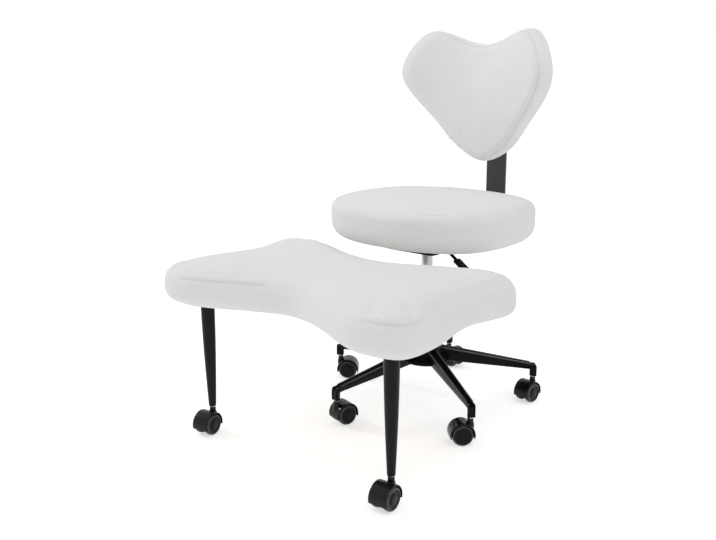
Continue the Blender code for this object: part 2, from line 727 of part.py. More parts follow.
def make_seat_plate():
    """Pressed steel tray under the seat, with the socket that grips the gas cylinder."""
    low = PLATE_TOP - PLATE_H
    outline = rounded_rectangle(PLATE_HALF_W, PLATE_HALF_D, PLATE_CORNER)
    hollow = rounded_rectangle(PLATE_HALF_W - PLATE_SHEET, PLATE_HALF_D - PLATE_SHEET, PLATE_CORNER - PLATE_SHEET)
    plate = add("seat_plate", plate_mesh("seat_plate", outline, low, PLATE_TOP), BLACK_STEEL, COLUMN)
    tray = plate_mesh("tray_hollow", hollow, low - PLATE_H, PLATE_TOP - PLATE_SHEET)
    boolean(plate, add("tray_hollow", tray, None, COLUMN))
    socket = cylinder_mesh("socket", SOCKET_R, SOCKET_BOTTOM, PLATE_TOP - PLATE_SHEET / 2, ROUND)
    boolean(plate, add("socket", socket, None, COLUMN), "UNION")
    grip = CYLINDER_R + GAP
    bore = [
        (0, PLATE_TOP + PLATE_SHEET),
        (grip - CYLINDER_TAPER, PLATE_TOP + PLATE_SHEET),
        (grip - CYLINDER_TAPER, CYLINDER_TOP),
        (grip, SOCKET_BOTTOM),
        (grip, SOCKET_BOTTOM - PLATE_SHEET),
        (0, SOCKET_BOTTOM - PLATE_SHEET),
    ]
    boolean(plate, turn(add("socket_bore", profile_mesh("socket_bore", bore), None, COLUMN), ROUND))
    half = LEVER_R + LEVER_SIDE
    slot_low = LEVER_Z - LEVER_PIVOT * math.tan(LEVER_FALL) - 2 * LEVER_R
    slot = box_mesh("lever_slot", (CYLINDER_R / 2, -half, slot_low), (PLATE_HALF_W, half, PLATE_TOP - PLATE_SHEET - GAP))
    boolean(plate, add("lever_slot", slot, None, COLUMN, Matrix.Rotation(LEVER_TURN, 4, "Z")))
    door = box_mesh("lever_door", (SOCKET_R + LEVER_PIVOT, -half, low - PLATE_H),
                    (PLATE_HALF_W + PLATE_HALF_D, half, PLATE_TOP - PLATE_SHEET - GAP))
    boolean(plate, add("lever_door", door, None, COLUMN, Matrix.Rotation(LEVER_TURN, 4, "Z")))


def make_lever():
    """Height lever: a bent steel rod that presses the button, and its flat grip."""
    height = LEVER_Z - LEVER_PIVOT * math.tan(LEVER_FALL)
    out = Vector((math.cos(LEVER_TURN), math.sin(LEVER_TURN), 0)) * LEVER_PIVOT
    pivot = empty("lever_pivot", (out.x, out.y, height), LEVER_TURN, COLUMN)
    pivot.rotation_euler = (0, LEVER_FALL, LEVER_TURN)
    along = Matrix.Rotation(math.radians(90), 4, "Y")
    bend = Matrix.Translation((LEVER_BEND_AT, 0, 0)) @ Matrix.Rotation(LEVER_BEND, 4, "Y")
    circle = superellipse(LEVER_R, LEVER_R, 2.0, STEM_SIDES)
    inner = [Vector((-LEVER_PIVOT - LEVER_PAST, p.x, p.y)) for p in circle]
    mitre = [Vector((LEVER_BEND_AT + p.y * math.tan(LEVER_BEND / 2), p.x, p.y)) for p in circle]
    outer = [bend @ Vector((LEVER_OUTER, p.x, p.y)) for p in circle]
    add("lever_rod", loft_mesh("lever_rod", [inner, mitre, outer]), BLACK_STEEL, pivot)
    rings = []
    for k in range(4):
        share = k / 3
        half_w = (GRIP_ROOT_W + (GRIP_TIP_W - GRIP_ROOT_W) * share) / 2
        half_t = (GRIP_T + (GRIP_TIP_T - GRIP_T) * share) / 2
        reach = GRIP_START + GRIP_LENGTH * share
        rings.append([(reach, p.x, p.y) for p in superellipse(half_w, half_t, 4.0, STEM_SIDES)])
    grip = add("lever_grip", loft_mesh("lever_grip", rings), GRIP_PLASTIC, pivot, bend)
    hole = cylinder_mesh("grip_hole", LEVER_R + GAP, GRIP_START - LEVER_R, LEVER_OUTER + GAP, STEM_SIDES)
    boolean(grip, add("grip_hole", hole, None, pivot, bend @ along))


def make_seat():
    loop = [p + Vector((0, SEAT_BACK)) for p in superellipse(SEAT_HALF_W, SEAT_HALF_D, SEAT_POWER, CUSHION_SIDES)]
    board_top = SEAT_BOTTOM + SEAT_BOARD_T
    board = [tuple(p) for p in inset(loop, SEAT_BOARD_IN)]
    add("seat_board", plate_mesh("seat_board", board, SEAT_BOTTOM, board_top), PLYWOOD, COLUMN)
    pocket = [(SEAT_BOARD_IN - GAP, board_top + GAP), (SEAT_BOARD_IN - GAP, SEAT_BOTTOM)]
    steps = edge_profile(SEAT_BOTTOM, SEAT_RIM, SEAT_LOW_ROUND, SEAT_TOP_ROUND, SEAM_DEPTH)
    cushion = cushion_mesh("seat_cushion", loop, (0, SEAT_BACK), pocket, steps, SEAT_RIM, SEAT_CROWN)
    add("seat_cushion", cushion, FABRIC, COLUMN)


def wrapped(point, depth):
    """Lay a point of the flat heart on the back's bend, a depth ahead of the cushion's rear face."""
    radius = BACK_WRAP - depth
    angle = point.x / BACK_WRAP
    return Vector((radius * math.sin(angle), BACK_REAR - BACK_WRAP + radius * math.cos(angle), point.y))


def heart_loop():
    half = [
        (0, 0),
        (HEART_LOW_X, HEART_LOW_Z),
        (HEART_SLOPE_X, HEART_SLOPE_Z),
        (HEART_SIDE_X, HEART_SIDE_Z),
        (HEART_LOBE_X, HEART_LOBE_Z),
        (0, HEART_NOTCH),
    ]
    return [p + Vector((0, HEART_TIP)) for p in smooth_loop(mirrored(half), CUSHION_SIDES)]


def make_back():
    """Heart-shaped cushion bent round the sitter, its board, and the bar that carries them."""
    loop = heart_loop()
    centre = Vector((0, HEART_TIP + HEART_MIDDLE))
    steps = edge_profile(0, BACK_T, BACK_REAR_ROUND, BACK_ROUND, SEAM_DEPTH)
    rear = [drawn_to(inset(loop, steps[0][0]), centre, BACK_BOARD_SHARE * k / 3) for k in (1, 2, 3)]
    face = inset(loop, steps[-1][0])
    rings = [[wrapped(p, 0) for p in ring] for ring in rear]
    rings += [[wrapped(p, depth) for p in inset(loop, d)] for d, depth in steps]
    for share in (0.68, 0.34):
        depth = BACK_T + BACK_CROWN * (1 - share**2)
        rings.append([wrapped(p, depth) for p in drawn_to(face, centre, share)])
    cushion = loft_mesh("back_cushion", rings, wrapped(centre, 0), wrapped(centre, BACK_T + BACK_CROWN))
    add("back_cushion", cushion, FABRIC, COLUMN)
    near = -GAP
    far = -GAP - BACK_BOARD_T
    rings = [[wrapped(p, far) for p in ring] for ring in rear]
    rings += [[wrapped(p, near) for p in ring] for ring in rear[::-1]]
    board = loft_mesh("back_board", rings, wrapped(centre, far), wrapped(centre, near))
    add("back_board", board, BACK_COVER, COLUMN)
    low_bend = [Vector((BAR_Y - BAR_BEND + BAR_BEND * math.sin(math.radians(15 * k)),
                        BAR_Z + BAR_BEND - BAR_BEND * math.cos(math.radians(15 * k)))) for k in range(7)]
    head_y = BACK_REAR + GAP + BACK_BOARD_T + GAP + BAR_T / 2
    crank = []
    for k in range(7):
        share = k / 6
        ease = share * share * (3 - 2 * share)
        crank.append(Vector((BAR_Y + (head_y - BAR_Y) * ease,
                             HEART_TIP + BAR_CRANK_LOW + (BAR_CRANK_HIGH - BAR_CRANK_LOW) * share)))
    path = [Vector((PLATE_HALF_D + BAR_BEHIND, BAR_Z)), *low_bend, *crank, Vector((head_y, HEART_TIP + BAR_END))]
    bar = plate_mesh("back_bar", [tuple(p) for p in path_outline(path, BAR_T)], -BAR_W / 2, BAR_W / 2)
    upright = Matrix(((0, 0, 1, 0), (1, 0, 0, 0), (0, 1, 0, 0), (0, 0, 0, 1)))
    add("back_bar", bar, BLACK_STEEL, COLUMN, upright)


def rest_loop():
    half = [
        (0, -REST_WAIST),
        (REST_FRONT_LOBE_X, -REST_LOBE_Y),
        (REST_CORNER_X, -REST_FRONT_CORNER_Y),
        (REST_SIDE_X, REST_SIDE_Y),
        (REST_CORNER_X, REST_REAR_CORNER_Y),
        (REST_REAR_LOBE_X, REST_LOBE_Y),
        (0, REST_WAIST),
    ]
    return [p + Vector((0, -REST_AHEAD)) for p in smooth_loop(mirrored(half), REST_SIDES)]


def make_footrest():
    loop = rest_loop()
    board_top = REST_BOTTOM + REST_BOARD_T
    board = [tuple(p) for p in inset(loop, REST_BOARD_IN)]
    add("footrest_board", plate_mesh("footrest_board", board, REST_BOTTOM, board_top), PLYWOOD, COLUMN)
    pocket = [(REST_BOARD_IN - GAP, board_top + GAP), (REST_BOARD_IN - GAP, REST_BOTTOM)]
    steps = edge_profile(REST_BOTTOM, REST_RIM, REST_LOW_ROUND, REST_TOP_ROUND, SEAM_DEPTH)
    cushion = cushion_mesh("footrest_cushion", loop, (0, -REST_AHEAD), pocket, steps, REST_RIM, REST_CROWN)
    add("footrest_cushion", cushion, FABRIC, COLUMN)


def make_legs():
    """Two tapered legs, each on a plate under the footrest's board, with a caster."""
    plate_low = REST_BOTTOM - GAP - LEG_PLATE_T
    top = plate_low - GAP
    span = top - FOOT_Z
    leg = [(0, top)]
    for k in range(7):
        share = k / 6
        radius = LEG_TOP_R - (LEG_TOP_R - LEG_FOOT_R) * share**1.7
        leg.append((radius, top - span * share))
    bore = STEM_R + PLAY
    leg += [(bore, FOOT_Z), (bore, FOOT_Z + STEM_UP), (0, FOOT_Z + STEM_UP)]
    plate = [
        (0, plate_low + LEG_PLATE_T),
        (LEG_PLATE_R, plate_low + LEG_PLATE_T),
        (LEG_PLATE_R - LEG_PLATE_T / 2, plate_low),
        (0, plate_low),
    ]
    for side, x, heading in (("left", LEG_X, LEFT_CASTER_TURN), ("right", -LEG_X, RIGHT_CASTER_TURN)):
        place = (x, -LEG_AHEAD, 0)
        at = Matrix.Translation(place)
        turn(add(f"leg_{side}", profile_mesh("leg", leg), BLACK_STEEL, COLUMN, at), LEG_SIDES)
        turn(add(f"leg_plate_{side}", profile_mesh("leg_plate", plate), BLACK_STEEL, COLUMN, at), LEG_SIDES)
        make_caster(f"caster_{side}", place, heading, COLUMN)


def make_swing_arm():
    """Bracket that turns on the column and carries the back of the footrest."""
    sleeve = [
        (SLEEVE_R, SLEEVE_TOP),
        (SLEEVE_R, SLEEVE_BOTTOM),
        (SLEEVE_BORE, SLEEVE_BOTTOM),
        (SLEEVE_BORE, SLEEVE_TOP),
    ]
    bar_top = SWING_TOP - SWING_PLATE_T
    bar_low = bar_top - SWING_BAR_H
    inner = SLEEVE_BORE + SLEEVE_WALL / 2
    half = SWING_BAR_W / 2
    arm = turn(add("swing_arm", profile_mesh("sleeve", sleeve, ring=True), BLACK_STEEL, COLUMN), ROUND)
    bar = box_mesh("swing_bar", (-half, -SWING_BAR_END, bar_low), (half, -inner, bar_top))
    boolean(arm, add("swing_bar", bar, None, COLUMN), "UNION")
    plate_rear = SWING_BAR_END - SWING_PLATE_D
    top_plate = box_mesh("swing_plate", (-SWING_PLATE_W / 2, -plate_rear - SWING_PLATE_D, bar_top - SWING_PLATE_T / 2),
                         (SWING_PLATE_W / 2, -plate_rear, SWING_TOP))
    boolean(arm, add("swing_plate", top_plate, None, COLUMN), "UNION")
    web = [(-inner, GUSSET_FOOT), (-inner, bar_low + SWING_BAR_WALL), (-inner - GUSSET_REACH, bar_low + SWING_BAR_WALL)]
    upright = Matrix(((0, 0, 1, 0), (1, 0, 0, 0), (0, 1, 0, 0), (0, 0, 0, 1)))
    gusset = plate_mesh("gusset", web, -GUSSET_T / 2, GUSSET_T / 2)
    boolean(arm, add("gusset", gusset, None, COLUMN, upright), "UNION")
    wall = SWING_BAR_WALL
    inside = box_mesh("bar_inside", (wall - half, -SWING_BAR_END - wall, bar_low + wall),
                      (half - wall, -SLEEVE_R - SWING_BAR_W, bar_top - wall))
    boolean(arm, add("bar_inside", inside, None, COLUMN))
    clear = cylinder_mesh("sleeve_clear", SLEEVE_BORE, SLEEVE_TOP - SWING_BAR_H, SWING_TOP + SWING_BAR_H, ROUND)
    boolean(arm, add("sleeve_clear", clear, None, COLUMN))
    bore = TUBE_R + PLAY
    outer = SLEEVE_BORE - GAP
    lower = [
        (bore, SLEEVE_BOTTOM + SLEEVE_BUSH_H),
        (outer, SLEEVE_BOTTOM + SLEEVE_BUSH_H),
        (outer, SLEEVE_BOTTOM - GAP),
        (SLEEVE_R, SLEEVE_BOTTOM - GAP),
        (SLEEVE_R, SLEEVE_BOTTOM - GAP - SLEEVE_LIP),
        (bore, SLEEVE_BOTTOM - GAP - SLEEVE_LIP),
    ]
    turn(add("swing_bush_lower", profile_mesh("lower", lower, ring=True), BLACK_NYLON, COLUMN), ROUND)
    upper = [
        (bore, SLEEVE_TOP + GAP),
        (outer, SLEEVE_TOP + GAP),
        (outer, SLEEVE_TOP - SLEEVE_BUSH_H),
        (bore, SLEEVE_TOP - SLEEVE_BUSH_H),
    ]
    turn(add("swing_bush_upper", profile_mesh("upper", upper, ring=True), BLACK_NYLON, COLUMN), ROUND)


for old in list(bpy.data.objects):
    bpy.data.objects.remove(old, do_unlink=True)

PARTS = new_collection("cross_legged_chair")
CUTTERS = new_collection("cutters")

FABRIC = material("cream_fabric", (0.80, 0.79, 0.77), 0.95)
BACK_COVER = material("back_cover", (0.78, 0.77, 0.75), 0.95)
PLYWOOD = material("plywood", (0.58, 0.43, 0.27), 0.7)
BLACK_STEEL = material("black_steel", (0.030, 0.030, 0.032), 0.42, 0.1)
BLACK_NYLON = material("black_nylon", (0.025, 0.025, 0.026), 0.5)
HOOD_PLASTIC = material("hood_plastic", (0.045, 0.045, 0.047), 0.55)
TYRE = material("wheel_plastic", (0.028, 0.028, 0.029), 0.5)
GRIP_PLASTIC = material("grip_plastic", (0.03, 0.03, 0.03), 0.5)
ZINC = material("zinc_steel", (0.62, 0.62, 0.61), 0.3, 1.0)
CHROME = material("chrome", (0.85, 0.85, 0.86), 0.08, 1.0)

FRONT_REACH = -min(p.y for p in rest_loop())
COLUMN_Y = (FRONT_REACH - REAR_REACH) / 2
COLUMN = empty("column", (0, COLUMN_Y, 0))
HOOD_MESH = make_hood_mesh()
AXLE_MESH = cylinder_mesh("axle", AXLE_R, -WEB_W / 2 - AXLE_BITE, WEB_W / 2 + AXLE_BITE, STEM_SIDES)

make_base()
make_gas_lift()
make_seat_plate()
make_lever()
make_seat()
make_back()
make_swing_arm()
make_footrest()
make_legs()
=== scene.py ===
from math import asin, atan2, cos, hypot, pi, radians, sin, sqrt

import bmesh
import bpy
import numpy as np
from mathutils import Matrix, Vector, kdtree


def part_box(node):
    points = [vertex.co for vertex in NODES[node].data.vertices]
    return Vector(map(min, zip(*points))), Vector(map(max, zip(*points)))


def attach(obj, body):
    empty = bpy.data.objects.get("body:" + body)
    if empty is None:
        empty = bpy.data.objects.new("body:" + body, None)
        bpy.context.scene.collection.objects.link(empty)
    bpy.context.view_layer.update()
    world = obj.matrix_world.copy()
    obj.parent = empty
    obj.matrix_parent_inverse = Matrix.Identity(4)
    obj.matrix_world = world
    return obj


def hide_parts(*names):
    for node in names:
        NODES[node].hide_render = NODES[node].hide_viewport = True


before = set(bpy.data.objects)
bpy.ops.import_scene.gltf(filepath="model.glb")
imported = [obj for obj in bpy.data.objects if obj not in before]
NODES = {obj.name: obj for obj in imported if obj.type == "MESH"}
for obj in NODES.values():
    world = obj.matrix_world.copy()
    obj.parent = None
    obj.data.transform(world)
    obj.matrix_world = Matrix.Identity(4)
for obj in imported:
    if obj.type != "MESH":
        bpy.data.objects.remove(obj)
SCENE = bpy.context.scene
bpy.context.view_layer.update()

# Places and sizes, in metres, heights above the floor
COLUMN_Y = sum(corner.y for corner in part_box("gas_cylinder")) / 2
COLUMN = Matrix.Translation((0, COLUMN_Y, 0))
GAP = 0.0003  # play between pieces

# Casters, each along X from its stem
WHEEL_R = 0.025
WHEEL_W = 0.0155
WEB_W = 0.0105  # the wall between the wheels
WHEEL_IN = 0.00585  # a wheel's inner face from the caster's middle
TRAIL = 0.02  # from the stem to the axle
AXLE = Matrix.Translation((TRAIL, 0, WHEEL_R))
HOOD_R = 0.029
HOOD_BORE = 0.0264
HOOD_LOW = 0.0175
HOOD_HALF = 0.02135
WEB_R = 0.0275
NECK_TOP = 0.0595
STEM_BORE_R = 0.0044
CASTER_TURNS = {"1": -97, "2": -134, "3": 75, "4": 36, "5": -8, "left": -86, "right": -80}
LEG_PLACES = {"left": (0.268, -0.477), "right": (-0.268, -0.477)}

# Star base, each arm along X from the column
ARM_COUNT = 5
ARM_FIRST = 40  # heading of the first arm, in degrees
STEM_CIRCLE = 0.2742
FOOT_Z = 0.0627
FOOT_SIZE = 0.0165
FOOT_H = 0.0323
ARM_START = 0.022
ARM_ROOT_W = 0.0262
ARM_TIP_W = 0.0185
ARM_ROOT_H = 0.039
ARM_END = STEM_CIRCLE + FOOT_SIZE / 2
INNER_CORNER = ARM_END - FOOT_SIZE
RAIL_W = 0.0036
GROOVE_ARM = 0.0034  # depth of the groove between the rails
GROOVE_FOOT = 0.0018
CHANNEL_START = 0.072  # the hollow under an arm
RIB_REACHES = (0.105, 0.15, 0.195)
HUB_TOP = 0.147
HUB_BOTTOM = 0.108
TUBE_R = 0.025
SOCKET_LOW_R = 0.0241  # the hub's bore at its underside
SOCKET_R = 0.0054  # a foot's bore for its caster

# Height lever, angles in degrees
LEVER_TURN = -13
LEVER_FALL = 12.4
LEVER_BEND = 16
LEVER_REACH = 0.0285  # from the column to the lever's pivot
LEVER_Z = 0.410209
BEND_AT = 0.055
GRIP_START = 0.0265
GRIP_LENGTH = 0.056

# Seat, footrest and back
SEAT_LOW = 0.425
SEAT_RIM = 0.5175
SEAT_HALF_X = 0.246
SEAT_HALF_Y = 0.216
SEAT_BEHIND = 0.0157  # the seat's middle behind the column
SEAT_BOARD_IN = 0.04  # a board's edge inside the cover's
REST_LOW = 0.3242
REST_RIM = 0.409
REST_AHEAD = 0.335  # the footrest's middle ahead of the column
REST_BOARD_IN = 0.034
POCKET_H = 0.0125  # how deep a board lies in its cover
HEART_TIP = 0.5901
BACK_T = 0.049
BACK_CROWN = 0.014
BACK_ROUND = 0.03
BACK_REAR = 0.263  # the back's rear face behind the column
BACK_WRAP = 0.36  # radius of the back's bend
BACK_MIDDLE = COLUMN_Y + BACK_REAR - BACK_WRAP
BACK_BOARD_SHARE = 0.84  # covered board's outline within the back's
BACK_BOARD_T = 0.0123
COVER_VOXEL = 0.0055
BACK_VOXEL = 0.005
SEAM_W = 0.0055
BACK_SEAM_W = 0.0048
PRESSURE = 3.0  # in the covers as they are blown out
SWELL = 0.004  # the most that a cover may swell
FRAMES = 20

# Camera fitted to the photograph, in pixels and degrees, and strengths of light
PHOTO_W = 716
FOCAL = 840.35
CAMERA_X = 1.19573
CAMERA_AHEAD = 1.64711  # ahead of the column
CAMERA_Z = 0.83967
CAMERA_HEADING = 40.804
CAMERA_DOWN = 13.801
CAMERA_ROLL = -0.321
WORLD_LIGHT = 0.635
FLOOR_LIGHT = 0.32
FLOOR_SEEN = 0.56


# Meshes

def mesh_of(name, bm):
    mesh = bpy.data.meshes.new(name)
    bm.to_mesh(mesh)
    bm.free()
    return mesh


def linked(name, data):
    """A new object in the scene."""
    obj = bpy.data.objects.new(name, data)
    SCENE.collection.objects.link(obj)
    return obj


def smoothed(mesh, sharp=None):
    """Smooth shading, but sharp at edges above an angle in degrees."""
    mesh.polygons.foreach_set("use_smooth", [True] * len(mesh.polygons))
    if sharp:
        mesh.set_sharp_from_angle(angle=radians(sharp))


def turned(angle, axis):
    return Matrix.Rotation(radians(angle), 4, axis)


def add(name, shape, mat, body, matrix=None, smooth=True):
    """Make a piece in the shared frame and let it ride on a body."""
    mesh = mesh_of(name, shape) if isinstance(shape, bmesh.types.BMesh) else shape
    if smooth:
        smoothed(mesh)
    obj = linked(name, mesh)
    if matrix is not None:
        obj.matrix_world = matrix
    if mat is not None and not mesh.materials:
        mesh.materials.append(mat)
    if body is not None:
        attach(obj, body)
    return obj


def bridged(bm, rows):
    """Quads from each closed row of points to the next."""
    for low, high in zip(rows, rows[1:]):
        for i in range(len(low)):
            j = (i + 1) % len(low)
            bm.faces.new((low[i], low[j], high[j], high[i]))


def lofted(rings, low_pole=None, high_pole=None):
    """A solid through equal rings of points; each end closes on a pole or a flat face."""
    bm = bmesh.new()
    rows = [[bm.verts.new(p) for p in ring] for ring in rings]
    bridged(bm, rows)
    count = len(rows[0])
    for row, pole, flip in ((rows[0], low_pole, True), (rows[-1], high_pole, False)):
        if pole is None:
            bm.faces.new(row[::-1] if flip else row)
            continue
        tip = bm.verts.new(pole)
        for i in range(count):
            pair = (row[(i + 1) % count], row[i]) if flip else (row[i], row[(i + 1) % count])
            bm.faces.new((*pair, tip))
    bmesh.ops.recalc_face_normals(bm, faces=bm.faces)
    return bm


def revolved(profile, sides, axis="Z"):
    """Turn (radius, height) points into a closed solid; ends on the axis are poles."""
    angles = [2 * pi * i / sides for i in range(sides)]
    rings = [[(r * cos(a), r * sin(a), h) for a in angles] for r, h in profile if r > 0]
    poles = [(0, 0, h) if r <= 0 else None for r, h in (profile[0], profile[-1])]
    bm = lofted(rings, *poles)
    if axis == "Y":
        quarter = Matrix.Rotation(radians(-90), 3, "X")
        bmesh.ops.rotate(bm, verts=bm.verts, cent=(0, 0, 0), matrix=quarter)
    return bm


def plug(radius, low, high, sides, axis="Z"):
    return revolved([(0, low), (radius, low), (radius, high), (0, high)], sides, axis)


def swept(sections):
    """A closed strip through equal sections, the last joined to the first."""
    bm = bmesh.new()
    rows = [[bm.verts.new(p) for p in section] for section in sections]
    bridged(bm, rows + rows[:1])
    bmesh.ops.recalc_face_normals(bm, faces=bm.faces)
    return bm


def moved(bm, matrix):
    bmesh.ops.transform(bm, matrix=matrix, verts=bm.verts)
    return bm


def merged(bms):
    """Several meshes as one."""
    total = bmesh.new()
    for bm in bms:
        mesh = mesh_of("merge", bm)
        total.from_mesh(mesh)
        bpy.data.meshes.remove(mesh)
    return total


def evaluated(obj):
    """An object's mesh with its modifiers in it, as a new mesh."""
    graph = bpy.context.evaluated_depsgraph_get()
    return bpy.data.meshes.new_from_object(obj.evaluated_get(graph))


def combined(first, steps, name):
    """A new mesh from boolean steps, as (operation, mesh) pairs in order."""
    obj = linked(name, mesh_of(name, first))
    helpers = []
    for operation, bm in steps:
        tool = linked("tool", mesh_of("tool", bm))
        helpers.append(tool)
        mod = obj.modifiers.new("boolean", "BOOLEAN")
        mod.operation = operation
        mod.solver = "EXACT"
        mod.object = tool
    made = evaluated(obj)
    made.name = name
    for o in (obj, *helpers):
        old = o.data
        bpy.data.objects.remove(o)
        bpy.data.meshes.remove(old)
    return made


def superellipse(half_x, half_y, power, count):
    """A rounded loop of count points, squarer at a higher power."""
    points = []
    for i in range(count):
        c = cos(2 * pi * i / count)
        s = sin(2 * pi * i / count)
        reach = (abs(c / half_x) ** power + abs(s / half_y) ** power) ** (-1 / power)
        points.append((reach * c, reach * s))
    return np.array(points)


def walk(line):
    """How far each point of a line is from its start, along it."""
    return np.concatenate([[0], np.cumsum(np.linalg.norm(np.diff(line, axis=0), axis=1))])


def smooth_loop(points, count):
    """A closed smooth curve through points, as count points spread evenly along it."""
    p = np.array(points, float)
    h = np.sqrt(np.linalg.norm(np.roll(p, -1, 0) - p, axis=1))[:, None]
    before = np.roll(p, 1, 0)
    after = np.roll(p, -1, 0)
    h0 = np.roll(h, 1, 0)
    slope = ((p - before) / h0 * h + (after - p) / h * h0) / (h0 + h)
    out = slope * h
    into = np.roll(slope, -1, 0) * h
    t = (np.arange(48) / 48)[None, :, None]
    fine = (p[:, None] * (2 * t**3 - 3 * t**2 + 1) + out[:, None] * (t**3 - 2 * t**2 + t)
            + after[:, None] * (3 * t**2 - 2 * t**3) + into[:, None] * (t**3 - t**2)).reshape(-1, 2)
    ends = np.vstack([fine, fine[:1]])
    walked = walk(ends)
    marks = np.arange(count) * walked[-1] / count
    return np.column_stack([np.interp(marks, walked, ends[:, k]) for k in (0, 1)])


def inset(loop, distance):
    """The loop moved inwards by a distance."""
    along = np.roll(loop, -1, 0) - np.roll(loop, 1, 0)
    along /= np.linalg.norm(along, axis=1)[:, None]
    return loop + np.column_stack([-along[:, 1], along[:, 0]]) * distance


def mirrored(half):
    """A whole outline from its right half, which starts and ends in the middle."""
    return half + [(-x, y) for x, y in half[-2:0:-1]]


# Materials

def shader(name, color, roughness, metallic=0.0, **sockets):
    """A material, its node tree, its shader and the place on the piece."""
    mat = bpy.data.materials.new(name)
    mat.use_nodes = True
    tree = mat.node_tree
    bsdf = tree.nodes["Principled BSDF"]
    bsdf.inputs["Base Color"].default_value = (*color, 1)
    bsdf.inputs["Roughness"].default_value = roughness
    bsdf.inputs["Metallic"].default_value = metallic
    for key, value in sockets.items():
        bsdf.inputs[key.replace("_", " ")].default_value = value
    return mat, tree, bsdf, node(tree, "ShaderNodeTexCoord").outputs["Object"]


def node(tree, kind, inputs=None, **settings):
    made = tree.nodes.new(kind)
    for key, value in settings.items():
        setattr(made, key, value)
    for key, value in (inputs or {}).items():
        if isinstance(value, bpy.types.NodeSocket):
            tree.links.new(value, made.inputs[key])
        else:
            made.inputs[key].default_value = value
    return made


def noise(tree, where, scale, detail, rough):
    inputs = {"Vector": where, "Scale": scale, "Detail": detail, "Roughness": rough}
    return node(tree, "ShaderNodeTexNoise", inputs).outputs["Fac"]


def worked(tree, operation, first, second):
    """The result of one sum on two values."""
    return node(tree, "ShaderNodeMath", {0: first, 1: second}, operation=operation).outputs["Value"]


def ramp(tree, value, low, high, low_color, high_color):
    made = node(tree, "ShaderNodeValToRGB", {"Fac": value})
    made.color_ramp.elements[0].position = low
    made.color_ramp.elements[0].color = (*low_color, 1)
    made.color_ramp.elements[1].position = high
    made.color_ramp.elements[1].color = (*high_color, 1)
    return made.outputs["Color"]


def bumped(tree, bsdf, height, strength, distance, before=None):
    inputs = {"Height": height, "Strength": strength, "Distance": distance}
    if before is not None:
        inputs["Normal"] = before
    bump = node(tree, "ShaderNodeBump", inputs)
    tree.links.new(bump.outputs["Normal"], bsdf.inputs["Normal"])
    return bump.outputs["Normal"]


def varied_gloss(tree, bsdf, pattern, low, high):
    """Let the roughness follow a noise pattern."""
    inputs = {"Value": pattern, "From Min": 0.3, "From Max": 0.7, "To Min": low, "To Max": high}
    gloss = node(tree, "ShaderNodeMapRange", inputs)
    tree.links.new(gloss.outputs["Result"], bsdf.inputs["Roughness"])


def fabric(name, light, dark):
    """Short curly pile with a soft sheen, its shade changing slowly as the pile lies, and painted shade
    darkening it along sewn lines.
    """
    mat, tree, bsdf, where = shader(name, light, 0.95, Sheen_Weight=0.18, Sheen_Roughness=0.6,
                                    Specular_IOR_Level=0.12)
    curl = node(tree, "ShaderNodeTexVoronoi", {"Vector": where, "Scale": 420.0, "Smoothness": 0.6},
                feature="SMOOTH_F1")
    tuft = noise(tree, where, 190.0, 3.0, 0.6)
    lie = noise(tree, where, 9.0, 3.0, 0.55)
    grain = worked(tree, "MULTIPLY", curl.outputs["Distance"], tuft)
    shade = worked(tree, "ADD", tuft, lie)
    tone = ramp(tree, shade, 0.62, 1.34, dark, light)
    # Painted shade: the colour darkens towards a shadow tone where the seam attribute marks the sewn lines.
    seam = node(tree, "ShaderNodeAttribute", attribute_name="seam")
    shadow = (dark[0] * 0.62, dark[1] * 0.61, dark[2] * 0.6, 1)
    parts = {"Factor": seam.outputs["Fac"], "A": tone, "B": shadow}
    seam_shade_mix = node(tree, "ShaderNodeMix", parts, data_type="RGBA")
    tree.links.new(seam_shade_mix.outputs["Result"], bsdf.inputs["Base Color"])
    soft = bumped(tree, bsdf, tuft, 0.35, 0.0016)
    bumped(tree, bsdf, grain, 0.45, 0.0012, soft)
    return mat


def coated(name, color, roughness, peel=0.1, scale=900.0, metallic=0.0, shine=0.2):
    """Powder coat or moulded plastic: fine skin, a little uneven in shade and gloss."""
    mat, tree, bsdf, where = shader(name, color, roughness, metallic, Specular_IOR_Level=shine)
    skin = noise(tree, where, scale, 2.0, 0.55)
    patch = noise(tree, where, 24.0, 3.0, 0.6)
    lifted = [c * 1.3 + 0.001 for c in color]
    tone = ramp(tree, patch, 0.35, 0.75, color, lifted)
    tree.links.new(tone, bsdf.inputs["Base Color"])
    varied_gloss(tree, bsdf, patch, roughness - 0.05, roughness + 0.06)
    bumped(tree, bsdf, skin, peel, 0.0006)
    return mat


def bright_metal(name, color, roughness, streak):
    """Plated steel with faint turned or rolled streaks."""
    mat, tree, bsdf, where = shader(name, color, roughness, 1.0)
    drawn = node(tree, "ShaderNodeMapping", {"Vector": where, "Scale": (60.0, 60.0, 1400.0)})
    line = noise(tree, drawn.outputs["Vector"], 1.0, 2.0, 0.5)
    patch = noise(tree, where, 35.0, 3.0, 0.6)
    dull = [c * 0.86 for c in color]
    tone = ramp(tree, patch, 0.35, 0.7, dull, color)
    tree.links.new(tone, bsdf.inputs["Base Color"])
    varied_gloss(tree, bsdf, line, roughness, roughness + streak)
    return mat


def plywood(name):
    """Birch plywood: long grain on the faces, with darker lines."""
    mat, tree, bsdf, where = shader(name, (0.55, 0.41, 0.26), 0.62)
    drawn = node(tree, "ShaderNodeMapping", {"Vector": where, "Scale": (6.0, 90.0, 90.0)})
    grain = noise(tree, drawn.outputs["Vector"], 1.0, 6.0, 0.65)
    tone = ramp(tree, grain, 0.3, 0.72, (0.4, 0.27, 0.15), (0.62, 0.47, 0.31))
    tree.links.new(tone, bsdf.inputs["Base Color"])
    bumped(tree, bsdf, grain, 0.15, 0.0006)
    return mat


